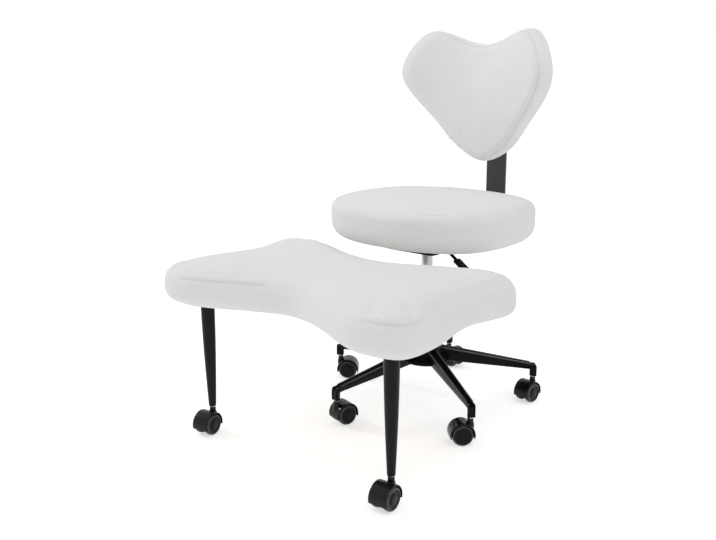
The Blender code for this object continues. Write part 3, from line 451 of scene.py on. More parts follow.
FABRIC = fabric("cream_fabric", (0.8, 0.795, 0.785), (0.765, 0.76, 0.75))
BACK_COVER = fabric("back_cover", (0.78, 0.775, 0.765), (0.72, 0.715, 0.705))
PLYWOOD = plywood("plywood")
STEEL = coated("black_steel", (0.006, 0.006, 0.006), 0.34, 0.1, 1100.0, shine=0.13)
BAR_STEEL = coated("bar_steel", (0.055, 0.055, 0.055), 0.42, 0.12, 1100.0, shine=0.16)
NYLON = coated("black_nylon", (0.004, 0.004, 0.004), 0.36, 0.06, 1500.0, shine=0.08)
# Rails: glossier nylon, with a lighter colour as a painted highlight along the arms' top edges.
RAIL_GLOSS_AND_HIGHLIGHT = coated("rail_nylon_painted_highlight", (0.045, 0.045, 0.045), 0.28, 0.03, 1500.0, shine=0.45)
# Groove: a darker colour as painted shade in the recess between the rails.
GROOVE_SHADE = coated("groove_nylon_painted_shade", (0.002, 0.002, 0.002), 0.6, 0.06, 1500.0, shine=0.02)
HOOD = coated("hood_plastic", (0.004, 0.004, 0.004), 0.2, 0.04, 1700.0, shine=0.22)
TYRE = coated("wheel_plastic", (0.003, 0.003, 0.003), 0.18, 0.03, 1500.0, shine=0.15)
RIM = coated("wheel_rim", (0.01, 0.01, 0.01), 0.12, 0.02, 1500.0, shine=0.55)
GRIP = coated("grip_plastic", (0.005, 0.005, 0.005), 0.4, 0.1, 1600.0, shine=0.15)
ZINC = bright_metal("zinc_steel", (0.42, 0.42, 0.41), 0.28, 0.14)
CHROME = bright_metal("chrome", (0.5, 0.5, 0.51), 0.16, 0.1)
BOLT_BLACK = coated("bolt_black", (0.03, 0.03, 0.031), 0.34, 0.05, 1500.0, metallic=0.6)


# CAD nodes that stay: smooth skins, rounded edges and materials

def finish_node(name, mat, bevel):
    obj = NODES[name]
    smoothed(obj.data)
    if "custom_normal" in obj.data.attributes:
        obj.data.attributes.remove(obj.data.attributes["custom_normal"])
    if obj.material_slots:
        for material_slot in obj.material_slots:
            material_slot.material = mat
    else:
        obj.data.materials.append(mat)
    weld = obj.modifiers.new("weld", "WELD")
    weld.merge_threshold = 0.00001
    if bevel:
        rounded = obj.modifiers.new("rounded", "BEVEL")
        rounded.width = bevel
        rounded.segments = 2
        rounded.limit_method = "ANGLE"
        rounded.angle_limit = radians(40)
        rounded.harden_normals = True
    split = obj.modifiers.new("split", "EDGE_SPLIT")
    split.split_angle = radians(32)


KEPT_NODES = (
    (BAR_STEEL, 0.0012, ("back_bar",)),
    (STEEL, 0.0006, ("column_tube", "lever_rod", "leg_plate_left", "leg_plate_right")),
    (STEEL, 0.0008, ("leg_left", "leg_right")),
    (STEEL, 0.0, ("seat_plate", "swing_arm")),
    (NYLON, 0.0006, ("column_bush", "swing_bush_lower")),
    (NYLON, 0.0, ("swing_bush_upper",)),
    (ZINC, 0.0004, ("thrust_bearing", "piston_rod", "rod_clip")),
    (ZINC, 0.0005, ("release_button",)),
    (CHROME, 0.0005, ("gas_cylinder",)),
    (PLYWOOD, 0.0008, ("seat_board", "footrest_board")),
)
for mat, bevel, names in KEPT_NODES:
    for name in names:
        finish_node(name, mat, bevel)
for label in CASTER_TURNS:
    finish_node(f"caster_{label}_stem", ZINC, 0.0004)
    finish_node(f"caster_{label}_axle", ZINC, 0.0003)


# Soft pieces

def remeshed(obj, voxel):
    """Give a piece an even skin of small quads."""
    bpy.context.view_layer.objects.active = obj
    obj.select_set(True)
    obj.data.remesh_voxel_size = voxel
    obj.data.use_remesh_fix_poles = True
    bpy.ops.object.voxel_remesh()
    obj.select_set(False)


def coordinates(mesh, kind="co"):
    """The vertices of a mesh as rows of three: their places, or their normals."""
    values = np.zeros(len(mesh.vertices) * 3, np.float32)
    mesh.vertices.foreach_get(kind, values)
    return values.reshape(-1, 3).astype(float)


def set_coordinates(mesh, co):
    mesh.vertices.foreach_set("co", co.astype(np.float32).ravel())
    mesh.update()


def relaxed(mesh, times):
    """Even out the surface without shrinking it."""
    edges = np.zeros(len(mesh.edges) * 2, np.int32)
    mesh.edges.foreach_get("vertices", edges)
    a, b = edges.reshape(-1, 2).T
    co = coordinates(mesh)
    count = np.bincount(a, minlength=len(co)) + np.bincount(b, minlength=len(co))
    for k in range(2 * times):
        total = np.zeros_like(co)
        np.add.at(total, a, co[b])
        np.add.at(total, b, co[a])
        step = 0.5 if k % 2 == 0 else -0.51
        co = co + (total / count[:, None] - co) * step
    set_coordinates(mesh, co)


def distances(points, polyline):
    """For each point, how far away a dense line is, and how far along that line."""
    line = np.array(polyline, float)
    tree = kdtree.KDTree(len(line))
    for i, p in enumerate(line):
        tree.insert(p, i)
    tree.balance()
    found = [tree.find(p)[1:] for p in points]
    return np.array([f[1] for f in found]), walk(line)[[f[0] for f in found]]


def dense(ring, pitch=0.0015):
    """A closed ring of points, again with points at an even pitch."""
    ring = np.array(ring, float)
    ring = np.vstack([ring, ring[:1]])
    walked = walk(ring)
    marks = np.arange(0, walked[-1], pitch)
    return np.column_stack([np.interp(marks, walked, ring[:, k]) for k in range(3)])


def stuffed(obj, pinned):
    """Blow the cover out a little where it isn't held, and keep the result."""
    mesh = obj.data
    before = coordinates(mesh)
    group = obj.vertex_groups.new(name="held")
    for share in (0.35, 0.7, 1.0):
        chosen = np.nonzero((pinned >= share - 0.175) & (pinned < share + 0.176))[0]
        group.add([int(i) for i in chosen], share, "REPLACE")
    cloth = obj.modifiers.new("cloth", "CLOTH")
    settings = cloth.settings
    settings.quality = 4
    settings.mass = 0.25
    settings.tension_stiffness = 22
    settings.compression_stiffness = 22
    settings.shear_stiffness = 12
    settings.bending_stiffness = 2.0
    settings.use_pressure = True
    settings.uniform_pressure_force = PRESSURE
    settings.vertex_group_mass = "held"
    settings.effector_weights.gravity = 0
    cloth.collision_settings.use_collision = False
    cloth.point_cache.frame_start = 1
    cloth.point_cache.frame_end = FRAMES
    for k in range(1, FRAMES + 1):
        SCENE.frame_set(k)
    graph = bpy.context.evaluated_depsgraph_get()
    blown = obj.evaluated_get(graph).to_mesh()
    after = coordinates(blown)
    obj.modifiers.remove(cloth)
    SCENE.frame_set(1)
    move = after - before
    length = np.linalg.norm(move, axis=1)
    keep = np.minimum(1.0, SWELL / np.maximum(length, 1e-9))
    set_coordinates(mesh, before + move * keep[:, None])


def subdivided(obj):
    """Split each face in four, and keep the result."""
    mod = obj.modifiers.new("fine", "SUBSURF")
    mod.levels = 1
    mod.render_levels = 1
    made = evaluated(obj)
    obj.modifiers.remove(mod)
    old = obj.data
    obj.data = made
    bpy.data.meshes.remove(old)


def waves(points, seed, length):
    """A smooth field of rises and dips, the same each run."""
    draw = np.random.default_rng(seed)
    total = np.zeros(len(points))
    for _ in range(10):
        direction = draw.normal(size=3)
        direction /= np.linalg.norm(direction)
        k = 2 * pi / (length * draw.uniform(0.7, 1.5))
        total += np.sin(points @ direction * k + draw.uniform(0, 2 * pi))
    return total / 4.5


def along_waves(place, seed, length):
    """Rises and dips along a line, the same each run."""
    draw = np.random.default_rng(seed)
    total = np.zeros(len(place))
    for _ in range(9):
        k = 2 * pi / (length * draw.uniform(0.55, 1.9))
        total += np.sin(place * k + draw.uniform(0, 2 * pi))
    return total / 4.0


def sewn(obj, lines, seed):
    """Draw the cover in along sewn lines, with puckers beside them, and paint shade along the lines into a
    seam attribute.
    """
    mesh = obj.data
    co = coordinates(mesh)
    push = np.zeros(len(co))
    painted_seam_shade = np.zeros(len(co))
    n = coordinates(mesh, "normal")
    for k, (line, strength, depth, width) in enumerate(lines):
        away, place = distances(co, line)
        share = strength(co)
        near = np.exp(-((away / width) ** 2))
        push -= share * depth * near
        # Painted shade along each sewn line, stronger where the line is pulled in.
        painted_seam_shade = np.maximum(painted_seam_shade, 0.3 * share * np.exp(-((away / (0.62 * width)) ** 2)))
        ripple = along_waves(place, seed + k, 0.022)
        fold = np.clip(along_waves(place, seed + 50 + k, 0.16) + 0.35, 0, 1.2)
        push += share * 0.55 * depth * ripple * fold * np.exp(-((away / 0.018) ** 2)) * (1 - near)
    set_coordinates(mesh, co + n * push[:, None])
    mesh.attributes.new("seam", "FLOAT", "POINT").data.foreach_set("value", painted_seam_shade.astype(np.float32))


def cushion(name, body, shape, voxel, seams, held, node_name):
    """A soft piece: even skin, blown out between its seams, then sewn lines drawn in."""
    obj = add(name, shape, FABRIC, None)
    remeshed(obj, voxel)
    relaxed(obj.data, 4)
    co = coordinates(obj.data)
    pinned = np.zeros(len(co))
    for line, strength, _, _ in seams:
        away, _ = distances(co, line)
        near = np.clip(1.4 - away / 0.009, 0, 1)
        pinned = np.maximum(pinned, near * np.clip(2 * strength(co), 0, 1))
    pinned = np.maximum(pinned, held(co))
    stuffed(obj, pinned)
    subdivided(obj)
    co = coordinates(obj.data)
    uneven = waves(co, 7, 0.13) * 0.0007
    set_coordinates(obj.data, co + coordinates(obj.data, "normal") * uneven[:, None])
    sewn(obj, seams, 11)
    smoothed(obj.data)
    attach(obj, body)
    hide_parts(node_name)


def edge_steps(low, high, low_round, top_round):
    """Steps up a cushion's side as (inset, height), rounded under and over."""
    steps = []
    for k in range(10):
        a = radians(90 - 90 * k / 9)
        steps.append((low_round * (1 - cos(a)), low + low_round * (1 - sin(a))))
    for k in range(10):
        a = radians(90 * k / 9)
        steps.append((top_round * (1 - cos(a)), high - top_round * (1 - sin(a))))
    return steps


def block_cushion(loop, centre, board_in, low, high, low_round, top_round, crown):
    """A cushion's form with a pocket for its board, and rings on its top edge: 0 at the side, 90 on top."""
    wall = board_in - 2 * GAP
    board_top = low + POCKET_H
    steps = [(wall, board_top), (wall, low)] + edge_steps(low, high, low_round, top_round)
    rings = [[(x, y, z) for x, y in inset(loop, d)] for d, z in steps]
    flat = inset(loop, top_round)
    for k in range(1, 12):
        share = 1 - k / 12
        ring = np.array(centre) + (flat - np.array(centre)) * share
        rings.append([(x, y, high + crown * (1 - share**2.2)) for x, y in ring])
    bm = lofted(rings, (*centre, board_top), (*centre, high + crown))

    def line(angle):
        a = radians(angle)
        ring = inset(loop, top_round * (1 - cos(a)))
        return [(x, y, high - top_round * (1 - sin(a))) for x, y in ring]
    return bm, line


def ease(value, low, high):
    """None below low, one above high, and a soft change between them."""
    t = np.clip((value - low) / (high - low), 0, 1)
    return t * t * (3 - 2 * t)


def seat_pull(co):
    """The seat's seam shows for a short way at four places."""
    around = np.degrees(np.arctan2(co[:, 1] - seat_centre[1], co[:, 0]))
    share = np.full(len(co), 0.1)
    for middle, most in ((-53, 0.9), (38, 0.5), (128, 0.6), (-142, 0.5)):
        off = np.abs((around - middle + 180) % 360 - 180)
        share = np.maximum(share, most * (1 - ease(off, 3, 12)))
    return share


def rest_pull(co):
    """The footrest's seam shows over its lobes, and fades between them."""
    x = co[:, 0]
    left = ease(x, -0.265, -0.235) * (1 - ease(x, -0.085, -0.045))
    rear = ease(np.abs(x), 0.16, 0.2) * (1 - ease(np.abs(x), 0.28, 0.32))
    return 0.1 + np.where(co[:, 1] < rest_centre[1], 0.85 * left, 0.45 * rear)


def corner_pull(co):
    """The fold over the footrest's front right lobe."""
    return 0.9 * (ease(co[:, 0], 0.245, 0.285) * (1 - ease(co[:, 1] - rest_centre[1], -0.185, -0.135)))


def even_pull(share):
    """The same pull all round."""
    return lambda co: np.full(len(co), share)


def stapled(low):
    """The cover is held fast where it lies against its board."""
    return lambda co: (co[:, 2] < low + 0.014) * 1.0


seat_centre = (0.0, SEAT_BEHIND + COLUMN_Y)
seat_loop = superellipse(SEAT_HALF_X, SEAT_HALF_Y, 2.4, 240) + np.array(seat_centre)
seat_shape, seat_line = block_cushion(seat_loop, seat_centre, SEAT_BOARD_IN, SEAT_LOW, SEAT_RIM,
                                      low_round=0.039, top_round=0.023, crown=0.0075)
seat_seams = [(dense(seat_line(74)), seat_pull, 0.0013, SEAM_W)]
cushion("seat_cover", "seat", seat_shape, COVER_VOXEL, seat_seams, stapled(SEAT_LOW), "seat_cushion")

# Half of the footrest's outline, from its front waist to its rear one
rest_half = [(0, -0.1445), (0.251, -0.2285), (0.3425, -0.2005), (0.3535, -0.104), (0.328, 0.038),
             (0.346, 0.1755), (0.275, 0.2325), (0, 0.148)]
rest_centre = (0.0, COLUMN_Y - REST_AHEAD)
rest_loop = smooth_loop(mirrored(rest_half), 340) + np.array(rest_centre)
rest_shape, rest_line = block_cushion(rest_loop, rest_centre, REST_BOARD_IN, REST_LOW, REST_RIM,
                                      low_round=0.026, top_round=0.044, crown=0.004)
rest_seams = [(dense(rest_line(33)), rest_pull, 0.0016, SEAM_W),
              (dense(rest_line(40)), corner_pull, 0.0016, SEAM_W)]
cushion("footrest_cover", "footrest", rest_shape, COVER_VOXEL, rest_seams, stapled(REST_LOW),
        "footrest_cushion")

# Half of the heart's outline, from its tip round one lobe to its dip
heart_half = [(0, 0), (0.0803, 0.0344), (0.1445, 0.1), (0.2436, 0.2219), (0.1691, 0.3262), (0, 0.2945)]
heart_loop = smooth_loop(mirrored(heart_half), 260) + np.array((0, HEART_TIP))
heart_centre = np.array((0, HEART_TIP + 0.1675))


def wrapped(point, depth):
    """Lay a point of the flat heart on the back's bend, a depth ahead of its rear face."""
    radius = BACK_WRAP - depth
    angle = point[0] / BACK_WRAP
    return (radius * sin(angle), BACK_MIDDLE + radius * cos(angle), point[1])


def shrunk(loop, share):
    """A heart-shaped loop drawn in towards the middle of the heart."""
    return heart_centre + (loop - heart_centre) * share


heart_steps = edge_steps(0, BACK_T, 0.01, BACK_ROUND)
heart_rear = inset(heart_loop, heart_steps[0][0])
heart_front = inset(heart_loop, heart_steps[-1][0])
heart_rings = [[wrapped(p, 0) for p in shrunk(heart_rear, k / 10)] for k in range(1, 10)]
heart_rings += [[wrapped(p, depth) for p in inset(heart_loop, d)] for d, depth in heart_steps]
for k in range(1, 10):
    share = 1 - k / 10
    crown = BACK_T + BACK_CROWN * (1 - share**2)
    heart_rings.append([wrapped(p, crown) for p in shrunk(heart_front, share)])
heart_shape = lofted(heart_rings, wrapped(heart_centre, 0), wrapped(heart_centre, BACK_T + BACK_CROWN))


def heart_line(angle):
    """A ring on the back cushion's front edge: 0 at its side, 90 on its front."""
    a = radians(angle)
    ring = inset(heart_loop, BACK_ROUND * (1 - cos(a)))
    return [wrapped(p, BACK_T - BACK_ROUND * (1 - sin(a))) for p in ring]


def heart_held(co):
    """The back's cover is held fast at its rear face."""
    reach = np.hypot(co[:, 0], co[:, 1] - BACK_MIDDLE)
    return (reach > BACK_WRAP - 0.006) * 1.0


back_seams = [(dense(heart_line(36)), even_pull(1.0), 0.0014, BACK_SEAM_W),
              (dense(heart_line(56)), even_pull(0.35), 0.001, BACK_SEAM_W)]
cushion("back_cover_front", "seat", heart_shape, BACK_VOXEL, back_seams, heart_held, "back_cushion")


# Covered board behind the back

back_edge = shrunk(heart_rear, BACK_BOARD_SHARE)


def make_back_board():
    rings = []
    for step_in, depth in ((0.004, GAP), (0.0008, GAP), (0.0, 0.003), (0.0, 0.008), (0.0012, 0.0106),
                           (0.004, 0.0121), (0.012, BACK_BOARD_T), (0.03, BACK_BOARD_T)):
        rings.append([wrapped(p, -depth) for p in inset(back_edge, step_in)])
    flat = inset(back_edge, 0.03)
    for k in range(1, 8):
        rings.append([wrapped(p, -BACK_BOARD_T) for p in shrunk(flat, 1 - k / 8)])
    bm = lofted(rings, wrapped(heart_centre, -GAP), wrapped(heart_centre, -BACK_BOARD_T))
    obj = add("back_board_cover", bm, BACK_COVER, "seat")
    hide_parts("back_board")


make_back_board()


# Casters

def wheel_mesh():
    """A wheel about Y, with a dished outer face."""
    face = WHEEL_IN + WHEEL_W
    inner = [(0, 0.002), (0.006, 0.002), (0.0068, 0.0003), (0.008, 0), (0.02, 0), (0.0216, 0.0006),
             (0.0234, 0.0024), (0.0245, 0.0048), (WHEEL_R, 0.0078)]
    outer = [(WHEEL_R, -0.0052), (0.0248, -0.0038), (0.0241, -0.002), (0.0229, -0.0008), (0.0212, -0.0001),
             (0.0203, -0.0002), (0.0198, -0.0007), (0.0195, -0.0016), (0.0188, -0.0019), (0.0135, -0.0022),
             (0.0118, -0.0019), (0.0112, -0.0012), (0.0108, -0.0003), (0.0096, 0.0001), (0.005, 0.0003),
             (0, 0.0003)]
    profile = [(r, WHEEL_IN + y) for r, y in inner] + [(r, face + y) for r, y in outer]
    mesh = mesh_of("wheel", revolved(profile, 56, "Y"))
    mesh.materials.append(TYRE)
    mesh.materials.append(RIM)
    for polygon in mesh.polygons:
        across = hypot(polygon.center.x, polygon.center.z)
        polygon.material_index = int(polygon.center.y > WHEEL_IN + 0.006 and 0.02 < across < 0.0249)
    return mesh


def hood_mesh():
    """A hood: shell over the wheels, wall between them and bored neck."""
    half = HOOD_HALF
    edge = [(half - 0.0006, HOOD_BORE), (half, 0.0272), (half, 0.0279), (half - 0.0004, 0.0285),
            (half - 0.0012, 0.029), (half - 0.003, 0.0292), (0.0062, 0.0293)]
    outline = [(-y, r) for y, r in edge[1:]] + edge[::-1] + [(-edge[0][0], HOOD_BORE)]
    start = asin((HOOD_LOW - WHEEL_R) / HOOD_R)

    def arch(count):
        return [start + (pi - 2 * start) * k / count for k in range(count + 1)]

    def about_axle(r, y, a):
        return (TRAIL + r * cos(a), y, WHEEL_R + r * sin(a))

    shell = lofted([[about_axle(r, y, a) for y, r in outline] for a in arch(44)])
    web_half = WEB_W / 2
    web = lofted([[about_axle(WEB_R, y, a) for a in arch(40)] for y in (-web_half, web_half)])
    neck = revolved([(0, 0.034), (0.0088, 0.034), (0.0092, 0.044), (0.0086, 0.0475), (0.0076, 0.0502),
                     (0.0071, 0.053), (0.007, NECK_TOP - 0.0008), (0.0066, NECK_TOP - 0.0002),
                     (0.006, NECK_TOP), (0, NECK_TOP)], 32)
    steps = [("UNION", web), ("UNION", neck)]
    for side in (-1, 1):
        near, far = sorted((side * (web_half + 0.0001), side * (half + 0.01)))
        pocket = plug(HOOD_BORE - 0.0002, near, far, 56, "Y")
        steps.append(("DIFFERENCE", moved(pocket, AXLE)))
    steps.append(("DIFFERENCE", plug(STEM_BORE_R, 0.0485, 0.064, 24)))
    mesh = combined(shell, steps, "hood")
    smoothed(mesh, 38)
    return mesh


def arm_heading(index):
    return radians(ARM_FIRST - 360 / ARM_COUNT * index)


def stem_place(label):
    """The place on the floor under a caster's stem."""
    if label in LEG_PLACES:
        x, y = LEG_PLACES[label]
        return Vector((x, y + COLUMN_Y, 0))
    a = arm_heading(int(label) - 1)
    return Vector((STEM_CIRCLE * cos(a), STEM_CIRCLE * sin(a) + COLUMN_Y, 0))


WHEEL_MESH = wheel_mesh()
HOOD_MESH = hood_mesh()
for label, heading in CASTER_TURNS.items():
    at = Matrix.Translation(stem_place(label)) @ turned(heading, "Z")
    hood = add(f"caster_{label}_cover", HOOD_MESH, HOOD, f"caster_{label}", at, smooth=False)
    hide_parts(f"caster_{label}_hood")
    for side, turn in (("a", 0), ("b", 180)):
        place = at @ AXLE @ turned(turn, "Z")
        body = f"caster_{label}_wheel_{side}"
        wheel = add(f"caster_{label}_roller_{side}", WHEEL_MESH, None, body, place)
        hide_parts(f"caster_{label}_wheel_{side}")


# Star base

def arm_at(reach):
    """Top, depth and width of an arm at a distance from the column."""
    along = (reach - ARM_START) / (ARM_END - ARM_START)
    top = HUB_TOP + (FOOT_Z + FOOT_H - HUB_TOP) * along
    deep = ARM_ROOT_H + (FOOT_SIZE - ARM_ROOT_H) * along
    width = ARM_ROOT_W + (ARM_TIP_W - ARM_ROOT_W) * along
    return top, deep, width


def arm_outline(width, groove):
    """Outline of an arm: (across, share of the depth from the top, extra drop)."""
    half = width / 2
    inside = half - RAIL_W
    right = [(0.0, 0.0, groove), (inside - 0.001, 0.0, groove), (inside - 0.0002, 0.0, groove - 0.001),
             (inside + 0.0003, 0.0, 0.0003), (inside + 0.001, 0.0, 0.0), (half - 0.001, 0.0, 0.0002),
             (half - 0.0002, 0.0, 0.001), (half, 0.0, 0.0026)]
    for narrow, share in ((0.92, 0.36), (0.76, 0.66), (0.58, 0.88), (0.46, 0.97), (0.34, 1.0)):
        right.append((half * narrow, share, 0.0))
    return right + [(-y, share, drop) for y, share, drop in right[:0:-1]]


def arm_solid():
    """An arm that falls from the hub and bends down into its foot."""
    rings = []
    for k in range(13):
        reach = ARM_START + (INNER_CORNER - 0.001 - ARM_START) * k / 12
        top, deep, width = arm_at(reach)
        groove = GROOVE_ARM + (GROOVE_FOOT - GROOVE_ARM) * max(0.0, (k - 8) / 4)
        outline = arm_outline(width, groove)
        rings.append([(reach, y, top - deep * share - drop) for y, share, drop in outline])
    top, deep, width = arm_at(ARM_END)
    pivot = Vector((INNER_CORNER, 0, top - deep))
    tip_outline = arm_outline(width, GROOVE_FOOT)
    for k in range(1, 9):
        a = radians(90 - 90 * k / 8)
        reach = deep / (abs(cos(a)) ** 5 + abs(sin(a)) ** 5) ** 0.2
        ring = []
        for y, share, drop in tip_outline:
            r = (reach - drop) * (1 - share) + 0.0002
            ring.append((pivot.x + r * cos(a), y, pivot.z + r * sin(a)))
        rings.append(ring)
    for height in (0.66, 0.33, 0.04, 0.0):
        z = FOOT_Z + (pivot.z - FOOT_Z) * height
        shrink = 0.0006 if height == 0.0 else 0.0
        start = pivot.x + 0.0002 + shrink
        narrow = 1 - shrink * 60
        rings.append([(start + (deep - drop - 2 * shrink) * (1 - share), y * narrow, z)
                      for y, share, drop in tip_outline])
    return lofted(rings)


def upright(reach, half, low, high):
    """A rectangle across an arm."""
    return [(reach, -half, low), (reach, half, low), (reach, half, high), (reach, -half, high)]


def channel_solid():
    """The hollow under an arm."""
    rings = []
    for k in range(5):
        reach = CHANNEL_START + (ARM_END - 2 * FOOT_SIZE - CHANNEL_START) * k / 4
        top, deep, width = arm_at(reach)
        rings.append(upright(reach, width * 0.17, top - 2 * deep, top - 0.0075))
    return lofted(rings)


def rib_solid(reach):
    """A rib across the hollow under an arm."""
    top, deep, width = arm_at(reach)
    faces = (reach - 0.001, reach + 0.001)
    return lofted([upright(x, width * 0.19, top - deep + 0.003, top - 0.006) for x in faces])


def arm_gloss_and_painted_light(point, turns):
    """A point's material: 0 plain, 1 on a rail, glossier with a painted highlight, 2 in the groove between
    rails, with painted shade.
    """
    for spoke in turns:
        local = spoke.inverted() @ point
        across = abs(local.y)
        if ARM_START + 0.02 < local.x < ARM_END + 0.001 and across < 0.02:
            top, _, width = arm_at(min(local.x, ARM_END))
            if local.z > top - 0.0022 and abs(across - width / 2 + RAIL_W / 2) < RAIL_W / 2 + 0.0006:
                return 1
            return 2 if local.z > top - 0.006 and across < width / 2 - RAIL_W + 0.0004 else 0
    return 0


def make_base():
    hub = revolved([(0, HUB_TOP), (0.035, HUB_TOP), (0.0382, HUB_TOP - 0.0008), (0.0396, HUB_TOP - 0.0024),
                    (0.0402, HUB_TOP - 0.005), (0.044, 0.1275), (0.0462, 0.124), (0.056, 0.118),
                    (0.0586, 0.1164), (0.06, 0.1138), (0.06, HUB_BOTTOM + 0.0016), (0.0588, HUB_BOTTOM),
                    (0, HUB_BOTTOM)], 64)
    over = HUB_TOP + 0.02
    under = HUB_BOTTOM - 0.02
    socket = revolved([(0, over), (TUBE_R + GAP, over), (TUBE_R + GAP, HUB_TOP), (SOCKET_LOW_R, HUB_BOTTOM),
                       (SOCKET_LOW_R, under), (0, under)], 56)
    turns = [Matrix.Rotation(arm_heading(i), 4, "Z") for i in range(ARM_COUNT)]
    steps = [("UNION", moved(arm_solid(), spoke)) for spoke in turns]
    steps.append(("DIFFERENCE", socket))
    steps += [("DIFFERENCE", moved(channel_solid(), spoke)) for spoke in turns]
    for spoke in turns:
        bore = plug(SOCKET_R, FOOT_Z - 0.004, FOOT_Z + 0.0203, 24)
        steps.append(("DIFFERENCE", moved(bore, spoke @ Matrix.Translation((STEM_CIRCLE, 0, 0)))))
        steps += [("UNION", moved(rib_solid(reach), spoke)) for reach in RIB_REACHES]
    mesh = combined(hub, steps, "star")
    smoothed(mesh, 35)
    # Plain nylon, rails with a painted highlight, and grooves with painted shade.
    for mat in (NYLON, RAIL_GLOSS_AND_HIGHLIGHT, GROOVE_SHADE):
        mesh.materials.append(mat)
    for face in mesh.polygons:
        face.material_index = arm_gloss_and_painted_light(face.center, turns)
    base = add("star_base_moulding", mesh, None, "base", COLUMN, smooth=False)
    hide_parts("star_base")


make_base()


# Height lever's grip

def make_grip():
    turn = radians(LEVER_TURN)
    pivot = Vector((LEVER_REACH * cos(turn), LEVER_REACH * sin(turn) + COLUMN_Y, LEVER_Z))
    at = Matrix.Translation(pivot) @ turned(LEVER_TURN, "Z") @ turned(LEVER_FALL, "Y")
    at = at @ Matrix.Translation((BEND_AT, 0, 0)) @ turned(LEVER_BEND, "Y")
    rings = []
    for k in range(33):
        share = k / 32
        half_w = (0.022 + 0.003 * share) / 2
        half_t = (0.01 - 0.003 * share) / 2
        groove = 0.0006 * max(0.0, sin(share * pi * 12)) if 0.25 < share < 0.85 else 0.0
        root = max(0.0, 1 - share / 0.06)
        nose = max(0.0, (share - 0.9) / 0.1)
        tight = sqrt(1 - 0.72 * nose**2 - 0.45 * root**2)
        rings.append([(GRIP_START + GRIP_LENGTH * share, y * tight, z * tight)
                      for y, z in superellipse(half_w, half_t - groove, 3.2, 32)])
    grip = add("lever_handle", lofted(rings), GRIP, "lever", at)
    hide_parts("lever_grip")


make_grip()


# Fasteners, hems and welds

def bolt_head():
    """A hexagon head on its washer, standing down from height 0."""
    rings = []
    for corners, radius, height in ((0, 0.008, 0.0), (0, 0.0083, 0.0004), (0, 0.0083, 0.0012),
                                    (0, 0.008, 0.0016), (1, 0.0065, 0.0016), (1, 0.0065, 0.0058),
                                    (0, 0.0063, 0.0068), (0, 0.0048, 0.0069), (0, 0.0044, 0.0065)):
        ring = []
        for i in range(36):
            a = radians(10 * i)
            off = (a + pi / 6) % (pi / 3) - pi / 6
            reach = radius / cos(off) if corners else radius
            ring.append((reach * cos(a), reach * sin(a), -height))
        rings.append(ring)
    return lofted(rings)


def screw_head():
    """A pan head with a driver recess, standing down from height 0."""
    return revolved([(0, -0.0014), (0.0012, -0.0015), (0.0017, -0.0027), (0.003, -0.0024), (0.0041, -0.0014),
                     (0.0044, -0.0004), (0.0042, 0.0), (0, 0.0)], 24)


def fastened(name, body, head, places):
    """One piece with heads on a body, each at a point and facing its own way."""
    heads = []
    for point, out in places:
        turn = Vector((0, 0, -1)).rotation_difference(Vector(out)).to_matrix().to_4x4()
        heads.append(moved(head(), Matrix.Translation(point) @ turn))
    piece = add(name, merged(heads), BOLT_BLACK, body, COLUMN)
    smoothed(piece.data, 30)


def make_fasteners():
    down = (0, 0, -1)
    sides = (-1, 1)
    plate = [((0.05 * i, 0.055 * j, SEAT_LOW - 0.0033), down) for i in sides for j in sides]
    bar_low = [((0.016 * i, y, SEAT_LOW - 0.0073), down) for i in sides for y in (0.105, 0.16)]
    bar_high = [((0.017 * i, 0.2826, HEART_TIP + z), (0, 1, 0)) for i in sides for z in (0.14, 0.195)]
    fastened("seat_plate_bolts", "seat", bolt_head, plate)
    fastened("back_bar_bolts", "seat", bolt_head, bar_low + bar_high)
    swing = [((0.08 * i, y, REST_LOW - 0.0043), down) for i in sides for y in (-0.245, -0.317)]
    fastened("swing_plate_bolts", "footrest", bolt_head, swing)
    legs = []
    for x, y in LEG_PLACES.values():
        for k in range(4):
            a = radians(45 + 90 * k)
            legs.append(((x + 0.025 * cos(a), y + 0.025 * sin(a), REST_LOW - 0.0053), down))
    fastened("leg_plate_screws", "footrest", screw_head, legs)


def make_hem(name, body, loop, outer, inner, low, skipped):
    """The cover's edge, turned under the board, and its staples. It leaves a gap where skipped."""
    along = walk(loop)
    cut = inner + 0.0014 * along_waves(along, 31, 0.06)
    gather = 0.00018 * along_waves(along, 47, 0.012)
    in_direction = inset(loop, 1.0) - loop
    face = low - GAP / 2
    sections = []
    staples = []
    keep = [i for i in range(len(loop)) if not skipped(loop[i])]
    first = next((k for k in range(1, len(keep)) if keep[k] != keep[k - 1] + 1), 0)
    for count, i in enumerate(keep[first:] + keep[:first]):
        outline = ((outer, 0.0), (outer + 0.0002, 0.0007), (outer + 0.001, 0.001),
                   (cut[i] - 0.001, 0.001 + gather[i]), (cut[i], 0.0007), (cut[i], 0.0))
        sections.append([(*(loop[i] + in_direction[i] * d), face - down) for d, down in outline])
        if count % 5 == 2:
            place = loop[i] + in_direction[i] * (inner - 0.0035)
            heading = atan2(in_direction[i][1], in_direction[i][0]) + 0.16 * sin(i * 2.4)
            at = Matrix.Translation((*place, face - 0.001)) @ Matrix.Rotation(heading, 4, "Z")
            staples.append(moved(staple(), at))
    strip = swept(sections) if len(keep) == len(loop) else lofted(sections)
    add(f"{name}_hem", strip, FABRIC, body)
    add(f"{name}_staples", merged(staples), ZINC, body)


